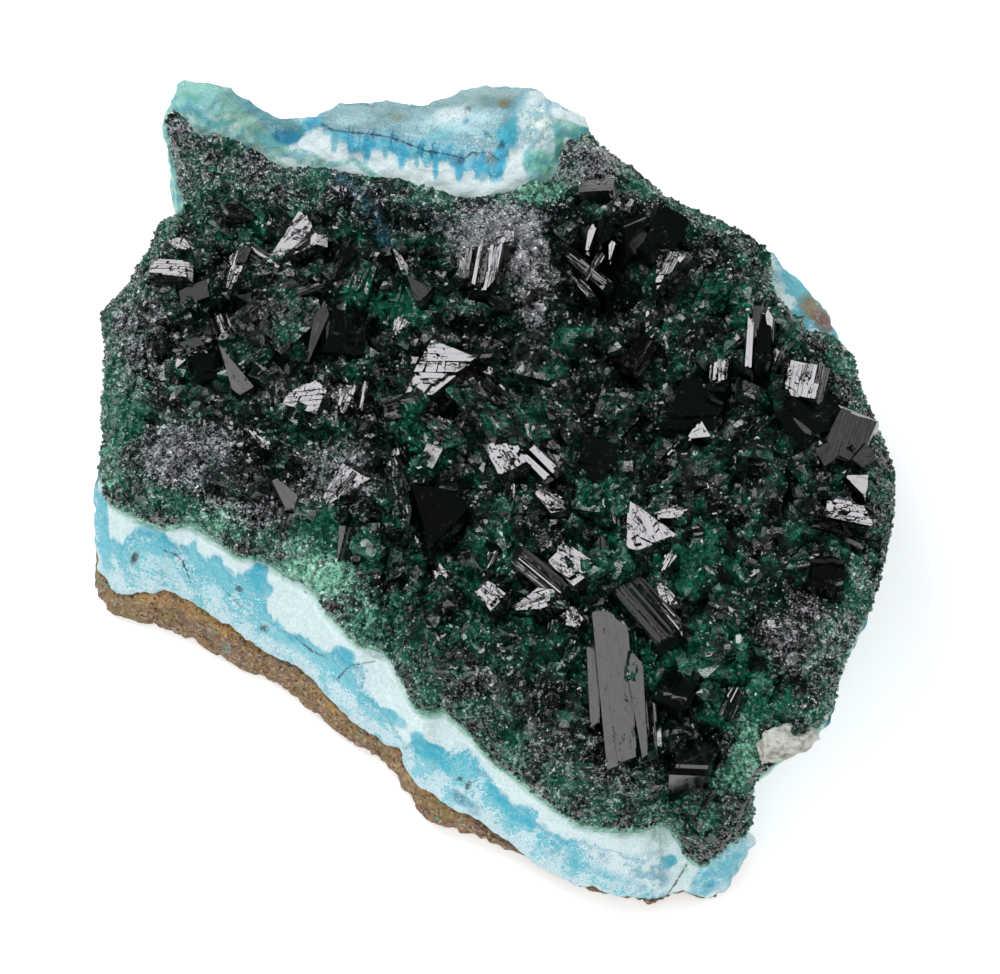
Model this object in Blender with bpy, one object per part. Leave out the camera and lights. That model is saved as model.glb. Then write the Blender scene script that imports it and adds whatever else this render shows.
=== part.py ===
"""A loose piece of vein rock that carries a crust of dark green clinoatacamite crystals.

From the table up: a skin of brown limonite, a band of blue chrysocolla, and the crystal crust.
Behind the crust the blue band rises in a bank, and a pale quartz chip sits in the crust's right
corner. Lengths are millimetres up to the point where a mesh is made, and metres in the mesh.
"""

import math
from collections import namedtuple

import bmesh
import bpy
import numpy as np
from mathutils import Vector, noise
from mathutils.geometry import delaunay_2d_cdt

METRE = 0.001
GAP = 0.3
ORIGIN = (-0.545, -0.715)

# The crust faces the viewer at this angle above the table; crystals are placed in that view.
VIEW_ELEVATION = math.radians(60.0)
VIEW_HEIGHT = 10.0
MM_PER_PIXEL = 0.07
VIEW_CENTRE_PIXEL = (500, 487)

LOOP_SPACING = 2.2
CRUST_SPACING = 2.9
CONTACT_SPACING = 4.6
BANK_SPACING = 1.8
FLAT_INSET = 3.0
EDGE_LIFT = 0.55

# The crust's outline in plan, counterclockwise from the front corner on the right.
CRUST_POINTS = [
    (13.3, -26.0), (14.9, -26.2), (16.2, -25.4), (16.6, -24.4), (17.0, -23.9),
    (17.3, -23.3), (19.4, -22.0), (21.0, -21.0), (22.8, -19.2), (23.3, -17.0), (24.6, -13.6), (26.0, -10.5), (26.8, -7.1),
    (27.3, -3.8), (27.3, -1.2), (26.3, 1.9), (25.2, 5.0), (24.5, 8.0), (23.1, 9.3), (21.4, 9.7),
    (19.9, 11.7), (18.8, 13.8), (18.0, 16.0), (17.2, 17.2), (14.3, 18.7), (11.3, 20.4),
    (9.9, 21.8), (8.5, 22.8), (7.1, 24.0), (5.6, 24.2), (4.6, 23.4), (3.9, 21.4), (1.6, 20.5),
    (-1.1, 19.7), (-4.3, 20.4), (-7.4, 21.3), (-11.1, 21.7), (-13.8, 22.3), (-16.0, 22.1),
    (-17.6, 23.4), (-19.6, 23.8), (-21.4, 24.3), (-22.9, 25.4), (-23.6, 24.6), (-23.2, 22.4),
    (-22.6, 20.2), (-22.7, 18.8), (-24.1, 17.6), (-25.1, 15.4), (-26.0, 14.0), (-27.5, 12.2),
    (-28.0, 10.2), (-27.7, 6.5), (-27.9, 3.0), (-27.9, -0.6), (-27.6, -3.0), (-25.9, -4.5),
    (-23.5, -5.6), (-21.7, -5.3), (-20.0, -6.5), (-18.2, -7.7), (-16.5, -8.2), (-14.7, -9.4),
    (-13.3, -10.2), (-12.3, -11.8), (-11.2, -13.2), (-9.8, -14.6), (-8.0, -15.0), (-7.0, -16.9),
    (-6.2, -18.6), (-5.2, -19.5), (-3.9, -19.2), (-2.1, -20.8), (-0.7, -22.2), (1.4, -23.8),
    (3.2, -25.2), (4.9, -26.2), (7.4, -26.8), (9.8, -26.3), (11.6, -25.5),
]

# Where the blue band comes out from under the crust: a slab at the front corner, set off by a
# crack; a patch on the right; and the back edge of the bank.
SLAB_EDGE = [(11.6, -26.2), (13.4, -26.5), (14.8, -27.9), (16.8, -27.2), (18.2, -25.2)]
PATCH_EDGE = [(24.0, 9.6), (23.3, 11.9), (22.5, 13.8), (21.4, 15.2), (19.9, 16.5), (18.3, 17.6)]
BANK_EDGE = [
    (6.7, 24.9), (6.1, 25.8), (4.5, 26.4), (3.1, 27.2), (-1.4, 26.9), (-4.0, 26.4), (-5.8, 25.6),
    (-8.6, 26.0), (-11.2, 26.1), (-12.7, 25.5), (-14.0, 25.1), (-15.6, 25.4), (-17.0, 25.8),
    (-18.4, 26.5), (-19.8, 26.5), (-21.5, 27.5), (-22.9, 27.2), (-23.4, 25.8),
]
BAND_OUTSET = 0.2

# The outline where the piece meets the table: it runs far in under the right side.
FOOT_POINTS = [
    (25.0, -2.0), (24.2, -6.0), (22.8, -10.0), (20.8, -12.8), (18.8, -14.8), (17.0, -16.6),
    (16.4, -20.4), (15.9, -21.4), (17.9, -25.0), (17.2, -26.4), (15.6, -27.8), (14.2, -28.2), (13.4, -26.8),
    (12.4, -27.9), (11.1, -28.6), (9.8, -29.0), (8.4, -28.2), (7.0, -27.8), (5.6, -27.2),
    (4.2, -26.9), (2.8, -26.0), (1.3, -25.0), (-0.2, -24.4), (-1.5, -23.6), (-2.9, -23.0),
    (-4.3, -22.6), (-5.4, -21.5), (-6.2, -20.0), (-7.1, -18.0), (-8.6, -16.6), (-10.4, -15.2),
    (-12.0, -13.8), (-14.0, -11.9), (-15.6, -10.4), (-17.1, -9.6), (-19.0, -8.9), (-20.8, -7.4),
    (-22.6, -6.5), (-25.0, -5.5), (-27.8, -4.7), (-28.6, -3.6), (-28.3, 0.0), (-27.2, 5.0),
    (-27.0, 9.0), (-26.0, 12.6), (-23.8, 15.6), (-22.0, 19.4), (-22.2, 22.8), (-21.0, 25.2),
    (-18.0, 25.0), (-14.0, 24.4), (-10.0, 24.8), (-5.0, 24.9), (0.0, 25.6), (4.0, 24.8),
    (7.0, 23.0), (11.0, 19.2), (15.0, 16.6), (19.0, 13.9), (21.4, 11.4), (22.8, 7.0), (24.2, 2.6),
]

# Height of the contact under the crust, at spots over the plan: x, y, height.
CONTACT_SPOTS = np.array([
    (-28.0, 0.0, 13.2), (-20.0, -5.0, 13.3), (-13.0, -11.0, 13.0), (-5.0, -19.0, 11.8),
    (1.0, -23.5, 10.3), (7.0, -27.0, 8.8), (13.2, -26.6, 5.6), (16.5, -25.5, 7.4),
    (20.0, -22.5, 10.3), (23.0, -19.0, 11.6), (25.5, -13.0, 12.8), (27.5, -5.0, 13.4),
    (24.5, 7.0, 13.9), (19.0, 14.5, 14.3), (13.0, 19.0, 14.8), (7.5, 23.5, 15.3),
    (0.0, 21.0, 14.6), (-8.0, 21.0, 14.9), (-15.0, 22.5, 15.4), (-22.0, 25.5, 18.6),
    (-23.0, 18.0, 14.6), (-28.0, 10.0, 13.2), (0.0, 0.0, 12.2), (-12.0, 5.0, 12.6),
    (12.0, 2.0, 12.4), (5.0, -12.0, 11.8), (15.0, -14.0, 12.0), (-2.0, 12.0, 12.8),
])
SPOT_REACH = 2.6

# Thickness of the brown skin along x; how much of the way from the crust to the foot the blue
# band has gone where it meets the skin; and how far the skin's foot is set back under it.
LIMONITE_X = [-28.0, -23.0, -20.0, -17.0, -12.0, -9.5, -7.0, -4.0, -1.5, 2.0, 6.0, 28.0]
LIMONITE_Z = [2.6, 4.9, 4.2, 3.2, 3.3, 2.2, 3.4, 4.2, 2.8, 1.9, 1.4, 1.5]
FOOT_X = [-6.0, 5.0]
BAND_SHARE = [0.75, 1.0]
SETBACK = [0.0, 1.6]

# Slope of the blue bank behind the crust, along x, and of the band outside the crust elsewhere.
BANK_X = [-24.0, -17.0, -14.5, -12.5, 2.0, 4.0, 6.2, 8.0]
BANK_SLOPE = [0.9, 1.05, 0.75, 0.95, 1.0, 1.3, 1.4, -0.5]
BANK_FRONT = 17.5
BANK_RISE = 5.7
SIDE_SLOPE = -0.55
SLAB_SLOPE = -1.5
SLAB_BACK = -20.0

CRUST_EDGE = 1.4
CRUST_BODY = 1.9
CRUST_ROUND = 4.0
LUMPS = [(7.0, 0.75), (2.6, 0.5)]

# Which way a crystal's main face looks, as the slopes of its normal along x and y.
SKY = (-0.27, -0.09)
SIDE = (0.55, -0.24)
VIEWER = (0.08, -0.48)
BACK = (0.18, 0.34)
RIGHT = (0.46, 0.14)
LEFT = (-0.71, -0.55)
LOW = (0.50, -0.86)

# Outlines of a main face, along the crystal and across it, in shares of its length and width.
BLADE = [(-0.5, -0.5), (0.36, -0.5), (0.5, -0.08), (0.40, 0.5), (-0.5, 0.5)]
BLOCK = [(-0.5, -0.36), (-0.34, -0.5), (0.5, -0.5), (0.5, 0.34), (0.34, 0.5), (-0.5, 0.5)]
RHOMB = [(-0.5, -0.05), (-0.08, -0.5), (0.5, -0.02), (0.10, 0.5)]
WEDGE = [(-0.5, 0.0), (0.40, -0.5), (0.5, -0.30), (0.46, 0.5)]
BRICK = [(-0.5, -0.44), (0.5, -0.5), (0.46, 0.5), (-0.44, 0.46)]
SHARD = [(-0.5, -0.12), (0.30, -0.5), (0.5, 0.10), (0.20, 0.5), (-0.45, 0.18)]

# Each crystal: the pixel of the photograph where its main face's middle lies, the face's length
# and width, the turn of its long axis from rightwards, the face's lean and outline, and how far
# it stands proud of the crust, all as the viewer sees them.
Crystal = namedtuple("Crystal", "px py length width turn lean shape proud")
CRYSTALS = [
    # The grey blade and the striated prism that crosses behind it.
    Crystal(621, 676, 10.2, 3.5, 96, VIEWER, BLADE, 2.2),
    Crystal(596, 690, 5.6, 0.9, 93, VIEWER, BLADE, 1.6),
    Crystal(647, 735, 4.4, 2.8, 98, VIEWER, BLOCK, 1.5),
    Crystal(646, 609, 6.4, 3.0, -49, SKY, BLOCK, 1.8),
    Crystal(666, 597, 2.4, 0.9, -52, SKY, SHARD, 2.1),
    # The group on the right edge.
    Crystal(850, 433, 4.3, 3.7, 70, VIEWER, RHOMB, 1.8),
    Crystal(822, 456, 2.4, 2.0, 60, VIEWER, RHOMB, 1.4),
    Crystal(852, 482, 3.0, 1.6, -15, SIDE, BLOCK, 1.4),
    Crystal(818, 416, 4.2, 3.6, 10, BACK, BLOCK, 1.5),
    Crystal(800, 378, 3.3, 2.7, 35, SKY, BLOCK, 1.6),
    Crystal(752, 340, 5.4, 0.9, 84, SKY, BLADE, 2.2),
    Crystal(763, 330, 5.8, 1.2, 88, RIGHT, BLADE, 2.0),
    Crystal(774, 320, 3.0, 0.8, 95, SIDE, SHARD, 1.8),
    Crystal(790, 338, 3.4, 2.8, 80, LOW, BLOCK, 1.2),
    Crystal(700, 398, 4.4, 3.4, 75, BACK, BLOCK, 1.7),
    Crystal(717, 372, 2.4, 1.3, 80, SKY, BLOCK, 1.8),
    Crystal(696, 434, 2.0, 1.2, 15, SKY, WEDGE, 1.6),
    Crystal(671, 440, 2.2, 1.4, 50, SKY, BLOCK, 1.3),
    Crystal(841, 524, 3.8, 2.4, -10, RIGHT, WEDGE, 1.4),
    Crystal(824, 566, 2.6, 2.4, 80, BACK, BLOCK, 1.4),
    Crystal(796, 560, 3.2, 1.6, 10, SKY, SHARD, 1.2),
    Crystal(760, 430, 4.4, 3.2, 35, BACK, BLOCK, 1.2),
    Crystal(770, 500, 4.0, 3.0, 60, LOW, RHOMB, 1.1),
    # The black group at the top right.
    Crystal(667, 226, 4.4, 3.2, 25, RIGHT, RHOMB, 1.9),
    Crystal(666, 260, 3.4, 2.4, 65, SKY, BLOCK, 1.6),
    Crystal(600, 232, 4.8, 3.6, 80, BACK, BLADE, 1.9),
    Crystal(588, 272, 4.8, 2.2, -42, LEFT, BLADE, 1.7),
    Crystal(635, 240, 3.2, 2.2, 60, LOW, BLOCK, 1.6),
    Crystal(655, 325, 2.8, 2.0, 85, VIEWER, BLOCK, 1.3),
    Crystal(720, 270, 4.0, 2.8, 20, BACK, BLOCK, 1.2),
    # The top middle and the top left.
    Crystal(473, 262, 4.4, 3.0, 78, SKY, BLOCK, 1.4),
    Crystal(504, 240, 2.2, 1.8, 60, SKY, RHOMB, 1.3),
    Crystal(533, 286, 2.8, 2.0, 50, SKY, BLOCK, 1.2),
    Crystal(407, 276, 4.8, 1.2, -57, SKY, SHARD, 1.8),
    Crystal(346, 250, 3.8, 3.2, 55, BACK, RHOMB, 1.6),
    Crystal(290, 240, 3.6, 2.9, 40, SKY, BLOCK, 1.7),
    Crystal(260, 264, 3.0, 1.6, -35, SKY, BLOCK, 1.5),
    Crystal(236, 274, 3.6, 1.2, 72, SKY, BLADE, 1.6),
    Crystal(172, 267, 2.6, 1.1, 5, SKY, BLOCK, 1.3),
    Crystal(180, 243, 2.1, 1.1, -25, SKY, RHOMB, 1.2),
    Crystal(285, 318, 5.4, 4.0, 40, RIGHT, BLOCK, 1.8),
    Crystal(349, 328, 4.6, 3.4, 85, BACK, BLOCK, 1.5),
    Crystal(323, 345, 3.4, 1.0, 70, SKY, SHARD, 1.9),
    # The left.
    Crystal(192, 343, 1.9, 0.9, -5, VIEWER, RHOMB, 1.3),
    Crystal(184, 353, 1.8, 0.6, -15, VIEWER, BLADE, 1.2),
    Crystal(233, 367, 3.8, 1.5, -62, SKY, WEDGE, 1.8),
    Crystal(207, 362, 2.8, 2.4, 50, BACK, RHOMB, 1.3),
    Crystal(295, 392, 2.8, 1.6, 20, SKY, BLOCK, 1.5),
    Crystal(320, 401, 2.2, 1.5, 60, SKY, BLOCK, 1.6),
    Crystal(352, 399, 2.6, 1.4, 75, SKY, SHARD, 1.4),
    Crystal(170, 443, 3.4, 3.0, 85, SKY, BLOCK, 1.0),
    Crystal(244, 462, 5.8, 3.8, -30, BACK, BLOCK, 1.5),
    Crystal(287, 494, 2.6, 1.2, -55, VIEWER, SHARD, 1.5),
    Crystal(342, 478, 3.8, 2.2, 50, SKY, BLOCK, 1.3),
    Crystal(215, 410, 3.6, 2.6, 15, LOW, BLOCK, 1.0),
    # The middle.
    Crystal(443, 364, 5.2, 3.8, -22, SKY, BLOCK, 1.9),
    Crystal(502, 412, 6.6, 3.6, -50, RIGHT, BLADE, 1.7),
    Crystal(538, 455, 3.2, 1.4, -42, SKY, BLADE, 1.7),
    Crystal(507, 452, 2.4, 1.6, -60, SKY, RHOMB, 1.5),
    Crystal(395, 498, 6.2, 1.4, -80, LEFT, BLADE, 2.1),
    Crystal(431, 514, 5.8, 4.8, 75, RIGHT, WEDGE, 1.8),
    Crystal(545, 500, 2.8, 1.3, -35, SKY, SHARD, 1.3),
    Crystal(643, 512, 4.4, 3.0, -65, SKY, WEDGE, 1.6),
    Crystal(665, 489, 2.4, 1.5, 10, VIEWER, SHARD, 1.4),
    Crystal(700, 470, 4.2, 3.2, 20, LOW, BLOCK, 1.2),
    Crystal(620, 420, 5.0, 4.2, 40, LOW, RHOMB, 1.1),
    Crystal(540, 345, 4.2, 3.2, 80, BACK, BLOCK, 1.2),
    Crystal(592, 486, 3.8, 3.0, 30, BACK, RHOMB, 1.1),
    # The lower middle and the bottom.
    Crystal(487, 583, 2.8, 1.6, -45, SKY, BLOCK, 1.6),
    Crystal(557, 569, 5.0, 2.6, -38, SKY, BLOCK, 1.6),
    Crystal(524, 598, 2.4, 1.4, 20, SKY, SHARD, 1.3),
    Crystal(575, 608, 2.0, 1.2, -70, SKY, SHARD, 1.4),
    Crystal(566, 654, 2.6, 1.8, 60, SKY, WEDGE, 1.6),
    Crystal(456, 655, 3.6, 2.4, 20, VIEWER, BLOCK, 1.1),
    Crystal(694, 748, 4.6, 2.6, 22, BACK, RHOMB, 1.3),
    Crystal(686, 690, 3.4, 2.6, 10, BACK, BLOCK, 1.2),
    Crystal(636, 780, 3.6, 2.6, 5, VIEWER, BLOCK, 0.8),
    Crystal(702, 786, 3.0, 2.4, 50, LOW, BLOCK, 0.9),
    Crystal(780, 620, 5.0, 3.8, -30, SKY, BLOCK, 0.9),
    Crystal(520, 700, 4.2, 3.0, 85, LOW, BLOCK, 1.0),
    Crystal(430, 600, 3.6, 2.8, 30, BACK, BLOCK, 1.0),
]

FLARE = 0.18
SHOULDER = 0.22
ROOT = 0.6
SMALL_TRIES = 1300
SMALL_SIZE = (1.4, 3.0)
SMALL_LEAN = 0.75
SMALL_EDGE = 2.2
CRUST_SEED = 7

# The quartz chip: pixel of its middle, and its corners along, across and above its bed.
CHIP_PIXEL = (786, 733)
CHIP_TURN = math.radians(24.0)
CHIP_BODY = [
    (-2.7, -0.9, 0.0), (-2.2, 1.0, -0.1), (1.6, 1.4, 0.0), (2.0, -0.7, 0.0), (-0.4, -1.4, 0.0),
    (-2.2, -0.5, 1.1), (-1.6, 0.7, 1.4), (1.0, 0.9, 1.7), (1.6, -0.4, 1.3), (-0.2, -0.9, 1.0),
]
CHIP_SPUR = [
    (0.8, 0.1, 0.3), (0.9, 1.2, 0.3), (3.0, 0.1, 0.5), (3.1, 0.9, 0.6), (0.9, 0.6, 1.5),
    (2.9, 0.4, 1.2),
]
CHIP_SINK = 0.7
POCKET_SWELL = 0.35


def closed_curve(points, spacing):
    """A smooth closed curve through the points, sampled about every spacing."""
    ring = np.array(points, float)
    before, after = np.roll(ring, 1, 0), np.roll(ring, -1, 0)
    after_next = np.roll(ring, -2, 0)
    samples = []
    for a, b, c, d in zip(before, ring, after, after_next):
        steps = max(1, round(float(np.linalg.norm(c - b)) / spacing))
        for t in np.arange(steps) / steps:
            cubic = 2 * b + (c - a) * t + (2 * a - 5 * b + 4 * c - d) * t**2
            samples.append((cubic + (3 * b - a - 3 * c + d) * t**3) / 2)
    return np.array(samples)


def inside(points, loop):
    """Whether each point lies inside the closed loop."""
    crossings = np.zeros(len(points), int)
    for (ax, ay), (bx, by) in zip(loop, np.roll(loop, -1, 0)):
        spans = (ay > points[:, 1]) != (by > points[:, 1])
        rise = by - ay if abs(by - ay) > 1e-12 else 1e-12
        crossings += spans & (points[:, 0] < ax + (bx - ax) * (points[:, 1] - ay) / rise)
    return crossings % 2 == 1


def edge_distance(points, loop):
    """Distance in plan from each point to the closed loop."""
    nearest = np.full(len(points), np.inf)
    for a, b in zip(loop, np.roll(loop, -1, 0)):
        share = np.clip((points - a) @ (b - a) / ((b - a) @ (b - a)), 0, 1)
        away = points - (a + share[:, None] * (b - a))
        nearest = np.minimum(nearest, np.hypot(away[:, 0], away[:, 1]))
    return nearest


def lump(x, y, size, layer=0.0):
    """Smooth noise over the plan, from about -1 to 1."""
    return noise.noise(Vector((x / size, y / size, layer))) * 1.6


def polar(points):
    """Angles and radii of the points about the middle."""
    ring = np.array(points, float)
    return np.arctan2(ring[:, 1], ring[:, 0]), np.hypot(ring[:, 0], ring[:, 1])


def at_reach(loop, reach):
    """The loop with each point moved along its line from the middle to its reach."""
    return loop * (reach / polar(loop)[1])[:, None]


def band_loop(crust_loop):
    """The blue band's outline: just outside the crust's, or further where the band comes out."""
    angles, radii = polar(crust_loop)
    reach = radii + BAND_OUTSET
    for edge in (SLAB_EDGE, PATCH_EDGE, BANK_EDGE):
        reach = np.maximum(reach, np.interp(angles, *polar(edge), left=0, right=0))
    return at_reach(crust_loop, reach)


CRUST_LOOP = closed_curve(CRUST_POINTS, LOOP_SPACING)
BAND_LOOP = band_loop(CRUST_LOOP)


def contact_height(x, y):
    """Height of the surface under the crust, blended from the spots."""
    away = (CONTACT_SPOTS[:, 0] - x) ** 2 + (CONTACT_SPOTS[:, 1] - y) ** 2
    weights = 1.0 / (away + SPOT_REACH**2) ** 2
    return float(weights @ CONTACT_SPOTS[:, 2] / weights.sum())


def band_top(x, y):
    """Top of the blue band: the contact under the crust, and the bank outside it."""
    height = contact_height(x, y)
    here = np.array([[x, y]])
    if inside(here, CRUST_LOOP)[0]:
        return height
    out = float(edge_distance(here, CRUST_LOOP)[0])
    slope = SLAB_SLOPE if y < SLAB_BACK else SIDE_SLOPE
    if y > BANK_FRONT:
        slope = float(np.interp(x, BANK_X, BANK_SLOPE))
    ripple = 0.35 * lump(x, y, 2.2, 4.0) * min(1.0, out)
    return height + min(slope * out, BANK_RISE) + ripple


def crust_top(x, y):
    """Top of the crust between its crystals."""
    in_from_edge = float(edge_distance(np.array([[x, y]]), CRUST_LOOP)[0])
    share = min(1.0, in_from_edge / CRUST_ROUND)
    body = CRUST_EDGE + CRUST_BODY * share * (2 - share)
    lumps = sum(depth * lump(x, y, size) for size, depth in LUMPS)
    return contact_height(x, y) + body + lumps * (0.3 + 0.7 * share)


def limonite_top(x, y):
    """Top of the brown skin."""
    return float(np.interp(x, LIMONITE_X, LIMONITE_Z)) + 0.3 * lump(x, y, 3.0, 9.0)


def foot_loops():
    """The outlines of the band's foot, of the brown skin's foot, and of its flat."""
    angles, radii = polar(BAND_LOOP)
    foot = np.interp(angles, *polar(FOOT_POINTS), period=math.tau)
    share = np.interp(BAND_LOOP[:, 0], FOOT_X, BAND_SHARE)
    setback = np.interp(BAND_LOOP[:, 0], FOOT_X, SETBACK)
    band_foot = radii + share * (foot - radii)
    reaches = [band_foot, foot - setback, foot - setback - FLAT_INSET]
    return [at_reach(BAND_LOOP, reach) for reach in reaches]


BAND_FOOT, LIMONITE_FOOT, LIMONITE_FLAT = foot_loops()


def limonite_foot(x, y):
    """Underside of the brown skin: flat, with a rough edge that lifts off the table."""
    here = np.array([[x, y]])
    if inside(here, LIMONITE_FLAT)[0] or edge_distance(here, LIMONITE_FLAT)[0] < 1e-4:
        return 0.0
    out = float(edge_distance(here, LIMONITE_FLAT)[0])
    return EDGE_LIFT * min(1.0, out / FLAT_INSET) * (1 + 0.5 * lump(x, y, 2.0, 12.0))


def lattice(spacing):
    """Staggered points over the plan, each a little off its place, the same for every sheet."""
    random = np.random.default_rng(round(spacing * 100))
    rows = np.arange(-32, 32, spacing * 0.866)
    columns = np.arange(-32, 32, spacing)
    shift = (np.arange(len(rows)) % 2) * spacing / 2
    x = columns[None, :] + shift[:, None]
    y = np.repeat(rows[:, None], len(columns), 1)
    points = np.stack([x.ravel(), y.ravel()], 1)
    return points + random.uniform(-0.22, 0.22, points.shape) * spacing


def plan_sheet(loop, inner_loops, spacing, outer_spacing):
    """Triangles that fill the loop and keep the inner loops as edges, finer outside those."""
    points = lattice(spacing)
    points = points[inside(points, loop)]
    for ring in [loop, *inner_loops]:
        points = points[edge_distance(points, ring) > 0.6 * spacing]
    if outer_spacing:
        fine = lattice(outer_spacing)
        fine = fine[inside(fine, loop) & ~inside(fine, inner_loops[0])]
        for ring in [loop, *inner_loops]:
            fine = fine[edge_distance(fine, ring) > 0.6 * outer_spacing]
        points = np.concatenate([points[inside(points, inner_loops[0])], fine])
    corners = [Vector(p) for p in loop]
    edges = []
    for ring in inner_loops:
        start, size = len(corners), len(ring)
        corners += [Vector(p) for p in ring]
        edges += [(start + i, start + (i + 1) % size) for i in range(size)]
    corners += [Vector(p) for p in points]
    made = delaunay_2d_cdt(corners, edges, [list(range(len(loop)))], 1, 1e-6)
    return made[0], made[2]


def add_sheet(bm, loop, height, inner_loops, spacing, facing_up, outer_spacing=None):
    """Adds a sheet over the plan to the mesh, and returns the vertices of its edge."""
    corners, faces = plan_sheet(loop, inner_loops, spacing, outer_spacing)
    vertices = [bm.verts.new((p.x, p.y, height(p.x, p.y))) for p in corners]
    for face in faces:
        ring = [vertices[i] for i in face]
        bm.faces.new(ring if facing_up else ring[::-1])
    return vertices[: len(loop)]


def add_wall(bm, upper, lower, rows, roughness):
    """Joins two edges of equal length by a rough wall of so many rows."""
    rings = [upper]
    for row in range(1, rows):
        share = row / rows
        ring = []
        for a, b in zip(upper, lower):
            place = a.co.lerp(b.co, share)
            outward = Vector((place.x, place.y, 0)).normalized()
            rough = roughness * lump(place.x + place.y, place.z * 2.0, 1.9, 2.5)
            ring.append(bm.verts.new(place + outward * rough))
        rings.append(ring)
    rings.append(lower)
    for high, low in zip(rings, rings[1:]):
        for i, corner in enumerate(high):
            after = (i + 1) % len(high)
            bm.faces.new((corner, low[i], low[after], high[after]))


def finish_surface(name, colour, roughness):
    """A plain finish of one colour."""
    material = bpy.data.materials.new(name)
    material.use_nodes = True
    shader = material.node_tree.nodes["Principled BSDF"]
    shader.inputs["Base Color"].default_value = (*colour, 1.0)
    shader.inputs["Roughness"].default_value = roughness
    shader.inputs["Metallic"].default_value = 0.0
    return material


def place_object(name, bm, material=None):
    """Turns a mesh in millimetres into an object in metres, centred on the table."""
    for vertex in bm.verts:
        x, y, z = vertex.co
        vertex.co = ((x - ORIGIN[0]) * METRE, (y - ORIGIN[1]) * METRE, z * METRE)
    bmesh.ops.recalc_face_normals(bm, faces=bm.faces)
    mesh = bpy.data.meshes.new(name)
    bm.to_mesh(mesh)
    bm.free()
    if material:
        mesh.materials.append(material)
    made = bpy.data.objects.new(name, mesh)
    bpy.context.scene.collection.objects.link(made)
    return made


def make_limonite():
    """The brown skin, with the flat underside that the piece rests on."""
    bm = bmesh.new()
    upper = add_sheet(bm, BAND_FOOT, limonite_top, [], CONTACT_SPACING, True)
    lower = add_sheet(
        bm, LIMONITE_FOOT, limonite_foot, [LIMONITE_FLAT], CONTACT_SPACING, False
    )
    add_wall(bm, upper, lower, 2, 0.4)
    brown = finish_surface("limonite", (0.20, 0.12, 0.05), 0.9)
    return place_object("limonite_base", bm, brown)


def make_band():
    """The blue chrysocolla band, with the bank that rises behind the crust."""
    bm = bmesh.new()
    upper = add_sheet(
        bm, BAND_LOOP, band_top, [CRUST_LOOP], CONTACT_SPACING, True, BANK_SPACING
    )
    lower = add_sheet(
        bm, BAND_FOOT, lambda x, y: limonite_top(x, y) + GAP, [], CONTACT_SPACING, False
    )
    add_wall(bm, upper, lower, 5, 0.42)
    blue = finish_surface("chrysocolla", (0.20, 0.62, 0.72), 0.6)
    return place_object("chrysocolla_band", bm, blue)


def view_ray(px, py):
    """The point at height zero under a pixel of the photograph, and the way towards the viewer."""
    across = (px - VIEW_CENTRE_PIXEL[0]) * MM_PER_PIXEL
    up = (VIEW_CENTRE_PIXEL[1] - py) * MM_PER_PIXEL
    towards = Vector((0, -math.cos(VIEW_ELEVATION), math.sin(VIEW_ELEVATION)))
    y = (up + VIEW_HEIGHT * math.cos(VIEW_ELEVATION)) / math.sin(VIEW_ELEVATION)
    return Vector((across, y, 0)), towards


def on_crust(px, py):
    """Where the sight line of a pixel meets the crust."""
    foot, towards = view_ray(px, py)
    place = foot
    for _ in range(12):
        place = foot + towards * (crust_top(place.x, place.y) / towards.z)
    return place


def face_axes(lean, turn):
    """A leaning face's normal, its long axis, which the view shows at that turn, and the other."""
    towards = view_ray(0, 0)[1]
    normal = Vector((lean[0], lean[1], 1)).normalized()
    up = Vector((0, math.sin(VIEW_ELEVATION), math.cos(VIEW_ELEVATION)))
    seen = Vector((1, 0, 0)) * math.cos(turn) + up * math.sin(turn)
    long_axis = (seen - towards * (seen.dot(normal) / towards.dot(normal))).normalized()
    return normal, long_axis, normal.cross(long_axis)


def crystal_corners(middle, axes, length, width, shape, shouldered):
    """Corners of a crystal: its main face, a wider shoulder, and roots straight down from them."""
    normal, long_axis, cross = axes
    rings = [(0.0, 1.0)]
    if shouldered:
        rings.append((SHOULDER * width, 1.0 + FLARE))
    corners = []
    for sink, growth in rings:
        for along, across in shape:
            place = middle + long_axis * (along * length * growth) - normal * sink
            place = place + cross * (across * width * growth)
            bed = band_top(place.x, place.y) + 2 * GAP
            root = min(place.z, crust_top(place.x, place.y)) - ROOT
            corners.append(Vector((place.x, place.y, max(place.z, bed))))
            corners.append(Vector((place.x, place.y, max(root, bed))))
    return corners


def hull_object(name, corners):
    """A helper object that is the convex hull of the corners."""
    bm = bmesh.new()
    for corner in corners:
        bm.verts.new(corner)
    hull = bmesh.ops.convex_hull(bm, input=bm.verts)
    loose = {item for item in hull["geom_interior"] if isinstance(item, bmesh.types.BMVert)}
    bmesh.ops.delete(bm, geom=list(loose), context="VERTS")
    made = place_object(name, bm)
    made.hide_render = True
    made.display_type = "WIRE"
    return made


def listed_crystals():
    """Corners of every crystal in the list."""
    towards = view_ray(0, 0)[1]
    for crystal in CRYSTALS:
        axes = face_axes(crystal.lean, math.radians(crystal.turn))
        middle = on_crust(crystal.px, crystal.py) + towards * crystal.proud
        yield crystal_corners(middle, axes, crystal.length, crystal.width, crystal.shape, True)


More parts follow.
